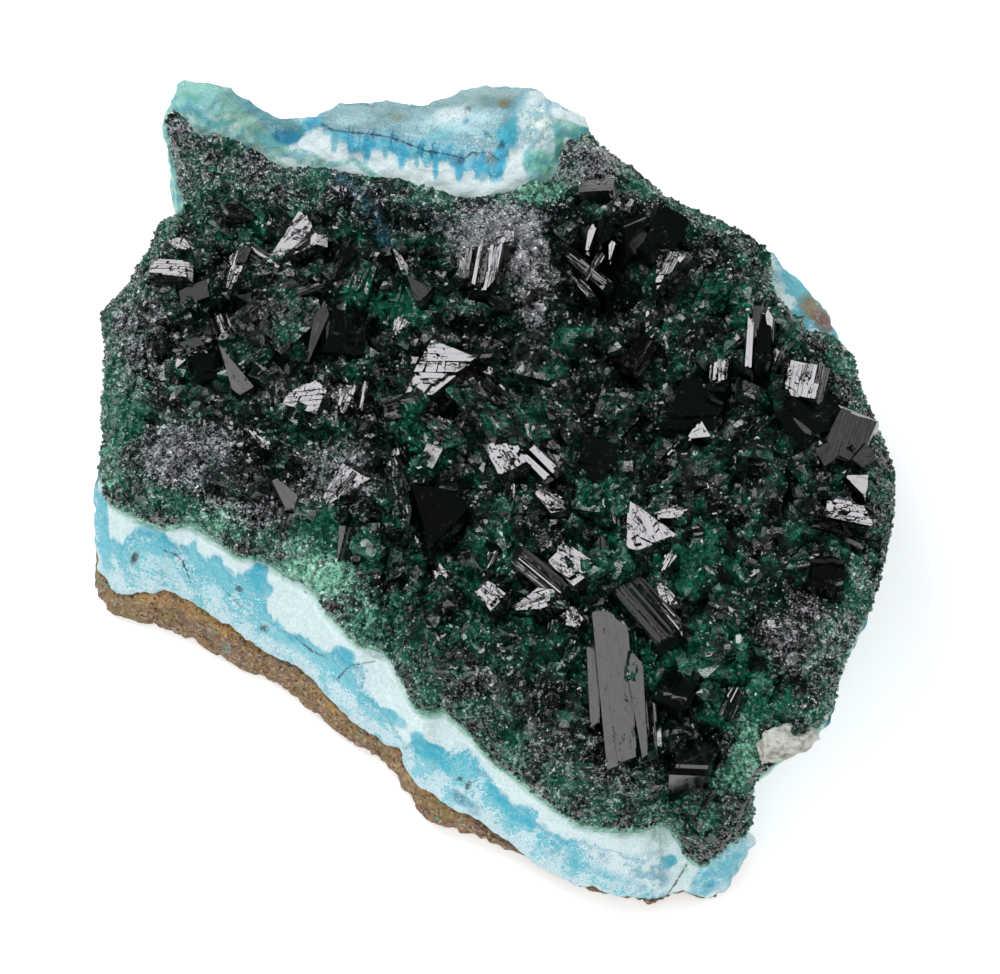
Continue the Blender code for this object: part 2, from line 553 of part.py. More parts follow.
def small_crystals():
    """Corners of the small four-sided crystals strewn over the rest of the crust."""
    random = np.random.default_rng(CRUST_SEED)
    taken = []
    for crystal in CRYSTALS:
        place = on_crust(crystal.px, crystal.py)
        taken.append((place.x, place.y, crystal.length / 2))
    low, high = CRUST_LOOP.min(0), CRUST_LOOP.max(0)
    for _ in range(SMALL_TRIES):
        spot = random.uniform(low, high)
        length = random.uniform(*SMALL_SIZE)
        width = length * random.uniform(0.5, 0.9)
        lean = random.uniform(-SMALL_LEAN, SMALL_LEAN, 2)
        turn = random.uniform(0, math.tau)
        proud = random.uniform(0.35, 0.9)
        here = spot[None, :]
        if not inside(here, CRUST_LOOP)[0] or edge_distance(here, CRUST_LOOP)[0] < SMALL_EDGE:
            continue
        if any(math.dist(spot, (x, y)) < 0.85 * (reach + length / 2) for x, y, reach in taken):
            continue
        taken.append((*spot, length / 2))
        middle = Vector((spot[0], spot[1], crust_top(spot[0], spot[1]) + proud))
        shape = [BRICK, RHOMB, WEDGE][random.integers(3)]
        yield crystal_corners(middle, face_axes(lean, turn), length, width, shape, False)


def chip_corners(outline, swell):
    """Corners of a stretch of the quartz chip on its bed, grown by the swell."""
    bed = on_crust(*CHIP_PIXEL) - Vector((0, 0, CHIP_SINK))
    turn = np.array([
        [math.cos(CHIP_TURN), -math.sin(CHIP_TURN)],
        [math.sin(CHIP_TURN), math.cos(CHIP_TURN)],
    ])
    middle = Vector(np.mean(outline, axis=0))
    for corner in outline:
        place = Vector(corner)
        place = place + (place - middle).normalized() * swell
        x, y = turn @ np.array([place.x, place.y])
        yield bed + Vector((x, y, place.z))


def add_boolean(target, name, operation, collection):
    """A Boolean of the target with every object of the collection."""
    modifier = target.modifiers.new(name, "BOOLEAN")
    modifier.operation = operation
    modifier.operand_type = "COLLECTION"
    modifier.collection = collection
    modifier.solver = "EXACT"


def helper_collection(name, objects):
    """Puts helper objects in a collection of their own."""
    collection = bpy.data.collections.new(name)
    bpy.context.scene.collection.children.link(collection)
    collection.hide_render = True
    for helper in objects:
        bpy.context.scene.collection.objects.unlink(helper)
        collection.objects.link(helper)
    return collection


def make_crust():
    """The clinoatacamite crust with its crystals grown into it, and a pocket for the chip."""
    bm = bmesh.new()
    upper = add_sheet(bm, CRUST_LOOP, crust_top, [], CRUST_SPACING, True)
    lower = add_sheet(
        bm, CRUST_LOOP, lambda x, y: contact_height(x, y) + GAP, [], CONTACT_SPACING, False
    )
    add_wall(bm, upper, lower, 2, 0.2)
    green = finish_surface("clinoatacamite", (0.010, 0.045, 0.035), 0.2)
    crust = place_object("clinoatacamite_crust", bm, green)
    corners = [*listed_crystals(), *small_crystals()]
    crystals = [hull_object(f"crystal_{i:03d}", c) for i, c in enumerate(corners)]
    add_boolean(crust, "crystals", "UNION", helper_collection("crystals", crystals))
    pocket = hull_object("pocket_cutter", chip_corners(CHIP_BODY + CHIP_SPUR, POCKET_SWELL))
    add_boolean(crust, "pocket", "DIFFERENCE", helper_collection("pocket", [pocket]))
    return crust


def make_chip():
    """The pale quartz chip: a low body with a spur at its outer end."""
    body = hull_object("quartz_chip", chip_corners(CHIP_BODY, 0.0))
    spur = hull_object("chip_spur", chip_corners(CHIP_SPUR, 0.0))
    body.hide_render = False
    body.display_type = "TEXTURED"
    body.data.materials.append(finish_surface("quartz", (0.72, 0.68, 0.60), 0.35))
    add_boolean(body, "spur", "UNION", helper_collection("chip", [spur]))
    return body


def main():
    for old in list(bpy.data.objects):
        bpy.data.objects.remove(old)
    make_limonite()
    make_band()
    make_crust()
    make_chip()


main()
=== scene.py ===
"""The clinoatacamite specimen in its finishes, on a pale table under soft studio light.

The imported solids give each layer's place. The crust is made again as a rough druse ground with
its crystals grown into it; the blue band, the brown skin and the chip are broken up finely from
copies of their solids. Lengths are millimetres up to the point where a mesh is made.
"""

import math
from collections import namedtuple

import bmesh
import bpy
import numpy as np
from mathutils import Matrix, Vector, noise
from mathutils.bvhtree import BVHTree
from mathutils.geometry import delaunay_2d_cdt
from mathutils.kdtree import KDTree


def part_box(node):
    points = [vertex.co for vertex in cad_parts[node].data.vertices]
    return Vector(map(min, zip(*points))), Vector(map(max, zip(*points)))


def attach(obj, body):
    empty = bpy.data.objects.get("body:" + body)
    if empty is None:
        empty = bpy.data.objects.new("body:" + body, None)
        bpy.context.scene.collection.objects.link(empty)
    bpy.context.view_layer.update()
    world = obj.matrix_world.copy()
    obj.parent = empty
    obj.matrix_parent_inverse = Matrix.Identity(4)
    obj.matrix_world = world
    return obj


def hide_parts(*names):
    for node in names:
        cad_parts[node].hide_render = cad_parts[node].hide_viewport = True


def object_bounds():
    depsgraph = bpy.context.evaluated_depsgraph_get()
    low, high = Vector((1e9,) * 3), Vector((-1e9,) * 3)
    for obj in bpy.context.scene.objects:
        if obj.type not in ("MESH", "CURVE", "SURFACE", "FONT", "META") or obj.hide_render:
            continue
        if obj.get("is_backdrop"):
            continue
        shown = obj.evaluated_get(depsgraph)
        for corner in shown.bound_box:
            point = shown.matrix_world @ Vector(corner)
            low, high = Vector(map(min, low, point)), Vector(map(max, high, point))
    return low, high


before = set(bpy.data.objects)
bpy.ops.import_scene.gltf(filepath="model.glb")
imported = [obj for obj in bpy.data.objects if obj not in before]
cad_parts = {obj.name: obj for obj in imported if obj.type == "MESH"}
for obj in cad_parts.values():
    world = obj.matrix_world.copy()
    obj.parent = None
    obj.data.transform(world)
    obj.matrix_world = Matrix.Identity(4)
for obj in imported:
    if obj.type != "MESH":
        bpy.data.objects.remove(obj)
cad_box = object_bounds()

MM = 0.001
BODY = "root"

# The photograph's view: its middle pixel, the millimetres per pixel, and the point it looks at.
VIEW_ELEVATION = math.radians(60.0)
VIEW_MIDDLE = Vector((0.545, 0.715, 10.0))
VIEW_CENTRE_PIXEL = (500, 487)
MM_PER_PIXEL = 0.07
LENS = 400.0
SENSOR = 36.0
TOWARDS_VIEWER = Vector((0, -math.cos(VIEW_ELEVATION), math.sin(VIEW_ELEVATION)))
VIEW_UP = Vector((0, math.sin(VIEW_ELEVATION), math.cos(VIEW_ELEVATION)))

# The crust between its crystals: height above its bed at the edge, the body inside, and lumps.
CRUST_EDGE = 1.4
CRUST_BODY = 1.9
CRUST_ROUND = 4.0
LUMPS = [(7.0, 0.75), (2.6, 0.5)]
# Close to the rim the highest bed around counts: how close, and how far around.
RIM_CLOSE = 0.8
RIM_AROUND = 0.7
FOUR_WAYS = ((1, 0), (-1, 0), (0, 1), (0, -1))

# The ground's corners: spacing inside and along the rim, the rows' spacing in shares of it, the
# share by which corners stray, and the rows of its edge wall as shares of its height and insets.
GROUND_SPACING = 0.2
RIM_SPACING = 0.25
ROW_SHARE = 0.866
STRAY = 0.25
EDGE_ROWS = ((0.35, -0.02), (0.7, 0.05), (1.0, 0.12))
EDGE_ROUGH = 0.08
EDGE_SINK = 0.25
GROUND_SEED = 3
# Facets that break the ground: spacing, slope, step and seed.
GROUND_FACETS = [
    (3.0, 0.28, 0.25, 11), (1.5, 0.42, 0.2, 12), (0.8, 0.45, 0.10, 13), (0.42, 0.4, 0.05, 14),
]

# The crust's outline in plan, counterclockwise from the front corner on the right.
CRUST_POINTS = [
    (12.9, -27.0), (14.0, -27.5), (15.4, -27.0), (16.8, -26.1), (17.5, -25.0), (17.4, -23.9),
    (17.7, -23.1), (19.4, -22.0), (21.0, -21.0), (22.8, -19.2), (23.3, -17.0), (24.6, -13.6),
    (26.0, -10.5), (26.8, -7.1), (27.3, -3.8), (27.3, -1.2), (26.3, 1.9), (25.2, 5.0), (24.5, 8.0),
    (23.1, 9.3), (21.4, 9.7), (19.9, 11.7), (19.0, 13.6), (19.2, 15.2), (17.4, 17.0), (14.3, 18.7),
    (11.3, 20.4), (9.9, 21.8), (8.5, 22.8), (7.1, 24.0), (5.6, 24.2), (4.6, 23.4), (3.9, 21.4),
    (1.6, 20.5), (-1.1, 19.7), (-4.3, 20.4), (-7.4, 21.3), (-11.1, 21.7), (-13.8, 21.9),
    (-16.0, 22.3), (-17.4, 23.4), (-19.4, 23.6), (-21.2, 23.5), (-22.7, 24.6), (-23.5, 24.2),
    (-23.2, 22.4), (-22.6, 20.2), (-22.7, 18.8), (-24.1, 17.6), (-25.1, 15.4), (-26.0, 14.0),
    (-27.5, 12.2), (-28.0, 10.2), (-27.7, 6.5), (-27.9, 3.0), (-27.9, -0.6), (-27.6, -3.0),
    (-25.9, -4.5), (-23.5, -5.6), (-21.7, -5.3), (-20.0, -6.5), (-18.2, -7.7), (-16.5, -8.2),
    (-14.7, -9.4), (-13.3, -10.2), (-12.3, -11.8), (-11.2, -13.2), (-9.8, -14.6), (-8.0, -15.0),
    (-7.0, -16.9), (-6.2, -18.6), (-5.2, -19.5), (-3.9, -19.2), (-2.1, -20.8), (-0.7, -22.2),
    (1.4, -23.8), (3.2, -25.2), (4.9, -26.2), (7.4, -26.8), (9.8, -26.3), (11.6, -25.5),
]
LUMP_SPACING = 0.9
RIM_LUMP = 0.42

# Which way a crystal's main face looks, as the slopes of its normal along x and y.
SKY = (-0.27, -0.09)
SIDE = (0.55, -0.24)
VIEWER = (0.08, -0.48)
BACK = (0.18, 0.34)
RIGHT = (0.46, 0.14)
LEFT = (-0.71, -0.55)
LOW = (0.50, -0.86)
DIM = (0.22, -0.38)
GREY_SIDE = (-0.10, -0.26)
STREAKED = (-0.13, -0.21)

# Outlines of a main face, along the crystal and across it, in shares of its length and width.
BLADE = [(-0.5, -0.5), (0.36, -0.5), (0.5, -0.08), (0.40, 0.5), (-0.5, 0.5)]
POINTED = [(-0.5, -0.5), (0.42, -0.5), (0.5, 0.12), (0.43, 0.5), (-0.46, 0.5)]
BLOCK = [(-0.5, -0.36), (-0.34, -0.5), (0.5, -0.5), (0.5, 0.34), (0.34, 0.5), (-0.5, 0.5)]
RHOMB = [(-0.5, -0.05), (-0.08, -0.5), (0.5, -0.02), (0.10, 0.5)]
WEDGE = [(-0.5, 0.0), (0.40, -0.5), (0.5, -0.30), (0.46, 0.5)]
BRICK = [(-0.5, -0.44), (0.5, -0.5), (0.46, 0.5), (-0.44, 0.46)]
KITE = [(-0.5, -0.47), (-0.05, -0.55), (0.52, 0.05), (-0.18, 0.48), (-0.48, 0.0)]
SHARD = [(-0.5, -0.12), (0.30, -0.5), (0.5, 0.10), (0.20, 0.5), (-0.45, 0.18)]

# How a crystal's top is split: slabs side by side, breaks across each, tilt and step between
# them, the share by which their ends differ, how much of the face is etched, and the open
# crack between its cells.
Cut = namedtuple("Cut", "slabs breaks tilt step ends etched gap")
CLEAN = Cut(2, 0, 0.012, 0.04, 0.07, 0.06, 0.0)
PLANED = Cut(4, 1, 0.015, 0.10, 0.14, 0.0, 0.012)
SPLIT = Cut(7, 3, 0.022, 0.045, 0.05, 0.08, 0.016)
RIBBED = Cut(22, 0, 0.085, 0.04, 0.10, 0.1, 0.03)
LINED = Cut(10, 1, 0.16, 0.08, 0.14, 0.25, 0.03)
GRAINED = Cut(9, 3, 0.22, 0.14, 0.28, 0.85, 0.05)
CRAZED = Cut(6, 3, 0.09, 0.06, 0.18, 0.42, 0.055)
MOSAIC = Cut(7, 4, 0.07, 0.045, 0.06, 0.32, 0.075)

# Each crystal: the pixel of the photograph where its main face's middle lies, the face's length
# and width, the turn of its long axis from rightwards, the face's lean and outline, how far it
# stands proud of the crust, all as the viewer sees them, and how its face is broken.
Crystal = namedtuple("Crystal", "px py length width turn lean shape proud cut")
CRYSTALS = [Crystal(*row) for row in [
    # The grey blade, made of parallel slabs, and the striated prism that crosses behind it.
    (612, 679, 10.6, 2.2, 94, VIEWER, POINTED, 2.2, SPLIT),
    (592, 684, 5.2, 0.9, 93, VIEWER, BRICK, 1.9, SPLIT),
    (637, 700, 7.6, 1.3, 96, VIEWER, SHARD, 2.0, SPLIT),
    (630, 650, 3.6, 0.8, 96, RIGHT, BRICK, 2.0, GRAINED),
    (650, 722, 4.6, 0.9, 97, VIEWER, SHARD, 1.6, LINED),
    (646, 608, 5.4, 2.5, -47, STREAKED, BRICK, 1.8, RIBBED),
    (660, 606, 4.6, 0.5, -48, SKY, BRICK, 2.0, LINED),
    (662, 592, 2.0, 1.2, -55, SKY, SHARD, 2.1, CRAZED),
    (666, 560, 1.9, 0.9, 65, SKY, SHARD, 1.5, CRAZED),
    # The group on the right edge.
    (847, 436, 3.6, 2.8, 72, DIM, BLOCK, 1.7, CLEAN),
    (860, 456, 2.0, 1.6, 10, DIM, RHOMB, 1.4, CLEAN),
    (822, 454, 2.1, 1.5, 75, DIM, RHOMB, 1.5, CLEAN),
    (852, 482, 2.2, 1.7, -20, SIDE, WEDGE, 1.4, PLANED),
    (818, 414, 4.2, 3.6, 10, BACK, BLOCK, 1.5, CLEAN),
    (801, 379, 3.1, 2.6, 75, SKY, BRICK, 1.6, MOSAIC),
    (748, 344, 4.2, 0.5, 86, SKY, BRICK, 2.2, CLEAN),
    (754, 326, 3.6, 0.5, 82, GREY_SIDE, BRICK, 2.1, CLEAN),
    (762, 332, 5.0, 1.0, 88, BACK, BLADE, 2.0, CLEAN),
    (768, 323, 2.2, 0.5, 92, SKY, SHARD, 2.0, CLEAN),
    (772, 357, 1.6, 0.8, 80, SKY, SHARD, 1.6, CRAZED),
    (790, 338, 3.0, 2.4, 50, LOW, RHOMB, 1.0, GRAINED),
    (700, 398, 4.4, 3.2, 75, BACK, BLOCK, 1.7, CLEAN),
    (718, 372, 1.8, 1.4, 85, SKY, BLOCK, 1.8, LINED),
    (694, 433, 1.8, 1.4, 25, SKY, WEDGE, 1.6, PLANED),
    (671, 440, 1.8, 1.2, 50, SKY, BLOCK, 1.3, CRAZED),
    (838, 526, 3.6, 2.0, -10, RIGHT, WEDGE, 1.4, CLEAN),
    (841, 511, 3.8, 1.6, -8, SKY, BRICK, 1.6, CRAZED),
    (824, 566, 2.6, 2.0, 80, BACK, BLOCK, 1.4, CLEAN),
    (790, 558, 3.2, 1.9, 15, SKY, SHARD, 1.3, GRAINED),
    (760, 430, 4.0, 3.0, 35, BACK, RHOMB, 1.0, GRAINED),
    (770, 500, 4.0, 2.6, 60, LOW, RHOMB, 1.0, GRAINED),
    # The black group at the top right.
    (667, 226, 4.4, 3.2, 25, RIGHT, RHOMB, 1.9, CLEAN),
    (664, 266, 3.4, 2.6, 65, SKY, WEDGE, 1.7, CRAZED),
    (604, 226, 3.4, 2.6, 75, BACK, RHOMB, 1.2, LINED),
    (596, 262, 3.0, 0.7, 60, GREY_SIDE, SHARD, 1.5, LINED),
    (611, 250, 1.6, 0.4, 80, SKY, SHARD, 1.8, CLEAN),
    (588, 272, 4.4, 0.8, -42, LEFT, BRICK, 1.8, LINED),
    (578, 282, 3.6, 0.6, -44, SKY, SHARD, 1.6, LINED),
    (590, 238, 2.0, 0.5, 75, SKY, SHARD, 2.0, CLEAN),
    (635, 240, 3.2, 2.2, 60, LOW, RHOMB, 1.6, CLEAN),
    (655, 325, 2.4, 1.6, 85, DIM, BLOCK, 1.2, GRAINED),
    (720, 270, 3.6, 2.6, 20, BACK, RHOMB, 1.0, GRAINED),
    # The top middle and the top left.
    (476, 268, 3.4, 3.0, 82, SKY, BLOCK, 1.4, LINED),
    (506, 236, 1.8, 1.7, 60, SKY, RHOMB, 1.2, CRAZED),
    (530, 284, 2.9, 1.7, 60, SKY, SHARD, 1.2, CRAZED),
    (401, 262, 2.6, 0.7, -62, SKY, SHARD, 1.8, CRAZED),
    (414, 284, 2.4, 1.3, -50, GREY_SIDE, WEDGE, 1.8, CLEAN),
    (346, 250, 3.8, 3.2, 55, BACK, RHOMB, 1.5, LINED),
    (289, 245, 3.8, 3.0, 40, SKY, WEDGE, 1.7, CRAZED),
    (262, 262, 2.6, 1.6, -35, GREY_SIDE, BLOCK, 1.5, LINED),
    (261, 265, 2.8, 2.0, 20, SKY, BRICK, 1.6, GRAINED),
    (235, 272, 3.6, 1.3, 70, SKY, SHARD, 1.7, CRAZED),
    (243, 255, 1.6, 1.0, 40, GREY_SIDE, RHOMB, 1.6, CLEAN),
    (170, 267, 2.9, 1.2, -5, SKY, BRICK, 1.4, MOSAIC),
    (180, 243, 2.1, 1.1, -25, SKY, RHOMB, 1.2, CRAZED),
    (288, 312, 5.4, 3.6, 45, DIM, BLADE, 1.8, GRAINED),
    (349, 324, 3.6, 2.6, 85, BACK, BLOCK, 0.8, CLEAN),
    (318, 330, 5.0, 0.9, 72, GREY_SIDE, SHARD, 1.9, PLANED),
    (305, 292, 3.0, 0.8, 20, GREY_SIDE, SHARD, 1.7, LINED),
    # The left.
    (192, 343, 1.9, 0.8, -5, DIM, RHOMB, 1.3, CLEAN),
    (184, 353, 1.5, 0.6, -15, VIEWER, SHARD, 1.2, CLEAN),
    (181, 362, 0.9, 0.6, 60, SKY, SHARD, 1.2, CLEAN),
    (233, 367, 3.8, 1.3, -62, VIEWER, WEDGE, 1.8, CLEAN),
    (252, 358, 3.0, 1.2, 35, SKY, SHARD, 1.4, GRAINED),
    (207, 362, 2.8, 2.4, 50, BACK, RHOMB, 1.3, CLEAN),
    (304, 400, 3.7, 2.8, 10, SKY, SHARD, 1.7, MOSAIC),
    (318, 392, 1.4, 1.0, 60, SKY, BLOCK, 1.6, CRAZED),
    (346, 400, 2.4, 1.4, 80, SKY, SHARD, 1.5, CRAZED),
    (363, 396, 2.2, 0.7, 82, SKY, SHARD, 1.5, CRAZED),
    (262, 440, 2.2, 0.6, -45, SKY, SHARD, 1.2, CRAZED),
    (170, 443, 3.0, 2.6, 60, DIM, RHOMB, 0.8, GRAINED),
    (244, 462, 5.4, 3.4, -30, BACK, RHOMB, 1.2, GRAINED),
    (287, 494, 2.6, 1.1, -55, VIEWER, SHARD, 1.5, CLEAN),
    (338, 486, 4.0, 2.6, 50, SKY, WEDGE, 1.6, CRAZED),
    (360, 458, 3.2, 2.2, 60, SKY, SHARD, 1.4, GRAINED),
    (215, 410, 3.4, 2.4, 15, LOW, RHOMB, 0.9, GRAINED),
    # The middle.
    (443, 367, 5.1, 4.7, 0, SKY, KITE, 1.9, MOSAIC),
    (486, 371, 1.2, 0.8, 0, SKY, SHARD, 1.6, CRAZED),
    (400, 327, 2.2, 1.4, 70, SKY, SHARD, 1.4, CRAZED),
    (350, 272, 2.6, 2.1, 70, SKY, BLOCK, 1.4, GRAINED),
    (436, 426, 3.2, 2.0, -30, SKY, SHARD, 1.3, GRAINED),
    (502, 412, 6.4, 3.0, -50, RIGHT, BLADE, 1.6, GRAINED),
    (486, 392, 4.6, 1.2, -40, BACK, SHARD, 1.6, LINED),
    (541, 457, 3.0, 0.5, -44, SKY, BRICK, 1.7, CLEAN),
    (535, 466, 2.6, 0.4, -44, SKY, BRICK, 1.6, CLEAN),
    (548, 462, 2.2, 0.5, -44, GREY_SIDE, BRICK, 1.6, CLEAN),
    (504, 453, 2.9, 2.1, -60, SKY, BRICK, 1.6, CRAZED),
    (394, 484, 6.0, 1.7, -83, SKY, SHARD, 2.0, GRAINED),
    (433, 516, 5.6, 4.4, 75, BACK, WEDGE, 1.7, CLEAN),
    (548, 499, 2.8, 1.5, -35, SKY, SHARD, 1.4, CRAZED),
    (642, 517, 4.4, 3.8, -70, SKY, WEDGE, 1.9, MOSAIC),
    (668, 513, 2.6, 1.3, 10, SKY, SHARD, 1.7, CRAZED),
    (664, 490, 2.8, 1.8, 10, SKY, SHARD, 1.3, GRAINED),
    (700, 470, 4.0, 3.0, 20, LOW, RHOMB, 1.0, GRAINED),
    (620, 420, 4.6, 3.8, 40, LOW, RHOMB, 0.9, GRAINED),
    (540, 345, 4.0, 2.8, 80, BACK, BLOCK, 1.0, GRAINED),
    (592, 486, 3.6, 2.8, 30, BACK, RHOMB, 1.0, GRAINED),
    # The lower middle and the bottom.
    (489, 591, 2.2, 1.5, -45, SKY, BRICK, 1.6, CRAZED),
    (440, 570, 1.8, 1.0, -60, SKY, SHARD, 1.3, CRAZED),
    (570, 563, 3.8, 2.0, -35, SKY, BRICK, 1.8, CRAZED),
    (540, 572, 4.6, 1.7, -40, STREAKED, BRICK, 1.6, RIBBED),
    (534, 600, 3.2, 1.8, 20, SKY, SHARD, 1.4, CRAZED),
    (556, 604, 1.8, 1.1, -20, SKY, SHARD, 1.3, GRAINED),
    (571, 614, 2.0, 1.3, -70, SKY, SHARD, 1.6, CRAZED),
    (568, 652, 2.3, 2.0, 60, SKY, WEDGE, 1.6, GRAINED),
    (456, 655, 3.4, 2.2, 20, DIM, RHOMB, 0.9, GRAINED),
    (636, 782, 3.2, 2.2, 5, DIM, RHOMB, 0.7, GRAINED),
    (702, 796, 2.6, 2.0, 50, LOW, RHOMB, 0.7, GRAINED),
    (780, 620, 4.6, 3.2, -30, BACK, RHOMB, 0.7, GRAINED),
    (520, 700, 4.0, 2.8, 85, LOW, RHOMB, 0.9, GRAINED),
    (430, 600, 3.4, 2.6, 30, BACK, RHOMB, 0.9, GRAINED),
    (400, 562, 3.0, 2.0, 50, DIM, RHOMB, 1.0, GRAINED),
    (505, 655, 3.6, 2.4, 35, BACK, BLOCK, 1.1, GRAINED),
    (552, 722, 3.0, 2.0, 15, DIM, BLOCK, 1.0, GRAINED),
    (590, 775, 3.0, 1.8, -10, LOW, BRICK, 0.8, GRAINED),
    (438, 640, 2.8, 2.0, -55, DIM, WEDGE, 0.9, GRAINED),
    (676, 678, 3.0, 2.2, 60, BACK, BLOCK, 1.1, CLEAN),
    (692, 748, 3.8, 2.6, 25, BACK, RHOMB, 1.2, CLEAN),
    (150, 312, 2.6, 1.8, 30, DIM, RHOMB, 0.9, GRAINED),
    (140, 362, 2.8, 1.8, 70, BACK, RHOMB, 0.9, GRAINED),
    (160, 402, 2.6, 2.0, -20, DIM, BLOCK, 0.9, GRAINED),
    (228, 190, 2.6, 1.6, 40, BACK, RHOMB, 0.8, GRAINED),
    (300, 206, 3.0, 2.0, -20, DIM, BLOCK, 0.9, GRAINED),
    (680, 322, 3.6, 2.4, 30, BACK, BLOCK, 1.1, GRAINED),
    (560, 402, 3.8, 2.6, -40, DIM, RHOMB, 1.1, GRAINED),
    (600, 452, 3.4, 2.6, 70, BACK, BLOCK, 1.2, CLEAN),
    (730, 608, 3.0, 2.2, -30, DIM, BLOCK, 1.0, GRAINED),
    (640, 352, 3.2, 2.2, 55, LOW, BLOCK, 1.1, LINED),
    (455, 470, 3.0, 2.2, 20, BACK, RHOMB, 1.0, GRAINED),
]]

# A crystal's body: how far its shoulder spreads and sinks in shares of its size, how deep it
# roots, how far it lies below its face, and how far down it reaches at most. Then its slabs'
# depth, and the share by which its outline varies.
FLARE = 0.18
SHOULDER = 0.22
ROOT = 0.6
BODY_SINK = 0.22
DEEPEST = 3.6
SLAB_DEPTH = 0.7
UNEVEN = 0.06
# The small strewn crystals: how many are tried, their sizes, slopes, height above the crust and
# distance from its rim.
SMALL_TRIES = 1300
SMALL_SIZE = (1.4, 3.0)
SMALL_LEAN = 0.75
SMALL_PROUD = (0.35, 0.9)
SMALL_EDGE = 3.2
CRYSTAL_SEED = 21
SMALL_SEED = 7
# Layers of druse: grains per square millimetre, the smallest and largest in millimetres, how far
# they lean, and their seed.
DRUSE = {
    "edge_druse": (9.0, 0.16, 0.40, 0.7, 5),
    "fine_druse": (2.6, 0.2, 0.6, 0.55, 6),
    "coarse_druse": (0.6, 0.8, 1.8, 0.6, 7),
}
# Heights at which a sight line is tried against the crust, from above downwards.
SIGHT_LEVELS = np.arange(22.0, 4.0, -0.12)

# Zones of the crust, as the viewer sees them: pixel of the middle, reach across and down, and
# strength. Emerald where thin crystals let light through, frosted where the druse is fine.
EMERALD_ZONES = [
    (120, 400, 34, 44, 1.0), (385, 312, 52, 24, 0.9), (590, 365, 48, 46, 0.7),
    (700, 668, 75, 40, 0.8), (730, 705, 36, 22, 1.0), (480, 640, 60, 44, 0.35),
    (420, 440, 40, 50, 0.4), (660, 560, 90, 40, 0.6), (600, 520, 50, 50, 0.5),
    (765, 300, 50, 30, 0.6), (330, 545, 50, 40, 0.8), (215, 205, 50, 60, 0.25),
    (470, 560, 50, 40, 0.4), (500, 770, 120, 30, 0.25), (845, 610, 30, 60, 0.5),
]
FROST_ZONES = [
    (190, 455, 64, 42, 0.8), (430, 215, 130, 26, 0.6), (500, 240, 66, 50, 0.9),
    (532, 300, 18, 60, 0.8), (800, 632, 66, 52, 0.55), (345, 475, 50, 44, 0.7),
    (310, 400, 60, 30, 0.5), (645, 520, 44, 40, 0.5), (300, 480, 40, 40, 0.5),
    (580, 160, 60, 40, 0.7), (560, 240, 26, 56, 0.6), (190, 150, 44, 60, 0.65),
    (255, 175, 70, 40, 0.55), (330, 195, 70, 26, 0.4), (250, 510, 60, 25, 0.6),
    (630, 780, 60, 30, 0.5), (560, 800, 80, 25, 0.5), (500, 690, 90, 50, 0.45),
    (570, 750, 80, 36, 0.5), (250, 300, 90, 60, 0.4), (140, 330, 44, 80, 0.6),
]
PALE_ZONES = [
    (318, 575, 50, 26, 0.75), (742, 745, 16, 40, 0.7), (724, 778, 20, 16, 0.5),
    (545, 190, 44, 14, 0.6), (360, 610, 30, 40, 0.4), (112, 470, 12, 40, 0.5),
    (215, 522, 40, 16, 0.5), (300, 548, 30, 16, 0.5), (180, 300, 80, 8, 0.2),
]
# Hollows, where the ground lies lower and holds no grains; the crust's colour is also painted darker
# there as shade.
SHADED_HOLLOWS = [
    (228, 308, 30, 18, 1.0), (350, 333, 30, 26, 1.0), (600, 300, 44, 26, 1.0),
    (570, 240, 26, 40, 0.7), (706, 398, 38, 32, 0.9), (434, 512, 40, 40, 1.0),
    (692, 745, 34, 22, 0.9), (846, 515, 26, 18, 0.9), (250, 480, 40, 22, 0.7),
    (470, 330, 22, 14, 0.7), (606, 372, 46, 40, 0.7), (640, 240, 40, 40, 0.6),
    (410, 216, 40, 14, 0.7), (520, 345, 30, 24, 0.6), (700, 690, 40, 20, 0.4),
    (560, 520, 40, 20, 0.5), (390, 450, 16, 26, 0.6), (740, 470, 30, 30, 0.4),
]
HOLLOW_DEPTH = 1.1
# A glassy blue streak that runs down from the bank into the crust, in pixels.
BLUE_STREAK = [(332, 170), (346, 182), (362, 198), (374, 212), (382, 228), (386, 242)]


def srgb(red, green, blue):
    """A colour as a screen shows it, from 0 to 255, turned into the renderer's linear colour."""
    shares = [channel / 255 for channel in (red, green, blue)]
    return tuple(s / 12.92 if s <= 0.04045 else ((s + 0.055) / 1.055) ** 2.4 for s in shares)


WHITE = srgb(226, 240, 243)
MINT = srgb(176, 220, 200)
SEA_GREEN = srgb(128, 190, 165)
SKY_BLUE = srgb(112, 196, 210)
CLEAR_BLUE = srgb(62, 180, 202)
DEEP_BLUE = srgb(24, 128, 158)
VIVID_BLUE = srgb(76, 184, 220)
DULL_BLUE = srgb(148, 182, 186)
TEAL = srgb(140, 198, 198)
PALE_BLUE = srgb(188, 226, 232)
OLIVE = srgb(136, 122, 84)
RUST = srgb(128, 78, 52)
DARK_SPOT = srgb(38, 48, 46)
DARK_GREEN = srgb(30, 58, 50)
SHEEN = (0.985, 0.955, 1.0, 1.0)
# The crust's colours, as linear light.
NEAR_BLACK = (0.0012, 0.0024, 0.0028)
BLACK_GREEN = (0.0030, 0.0150, 0.0120)
BOTTLE_GREEN = (0.0036, 0.072, 0.043)
EMERALD = (0.010, 0.185, 0.108)
DULL_RIME = (0.15, 0.155, 0.17)
BRIGHT_RIME = (0.46, 0.465, 0.49)
GLASSY_BLUE = (0.012, 0.085, 0.125)

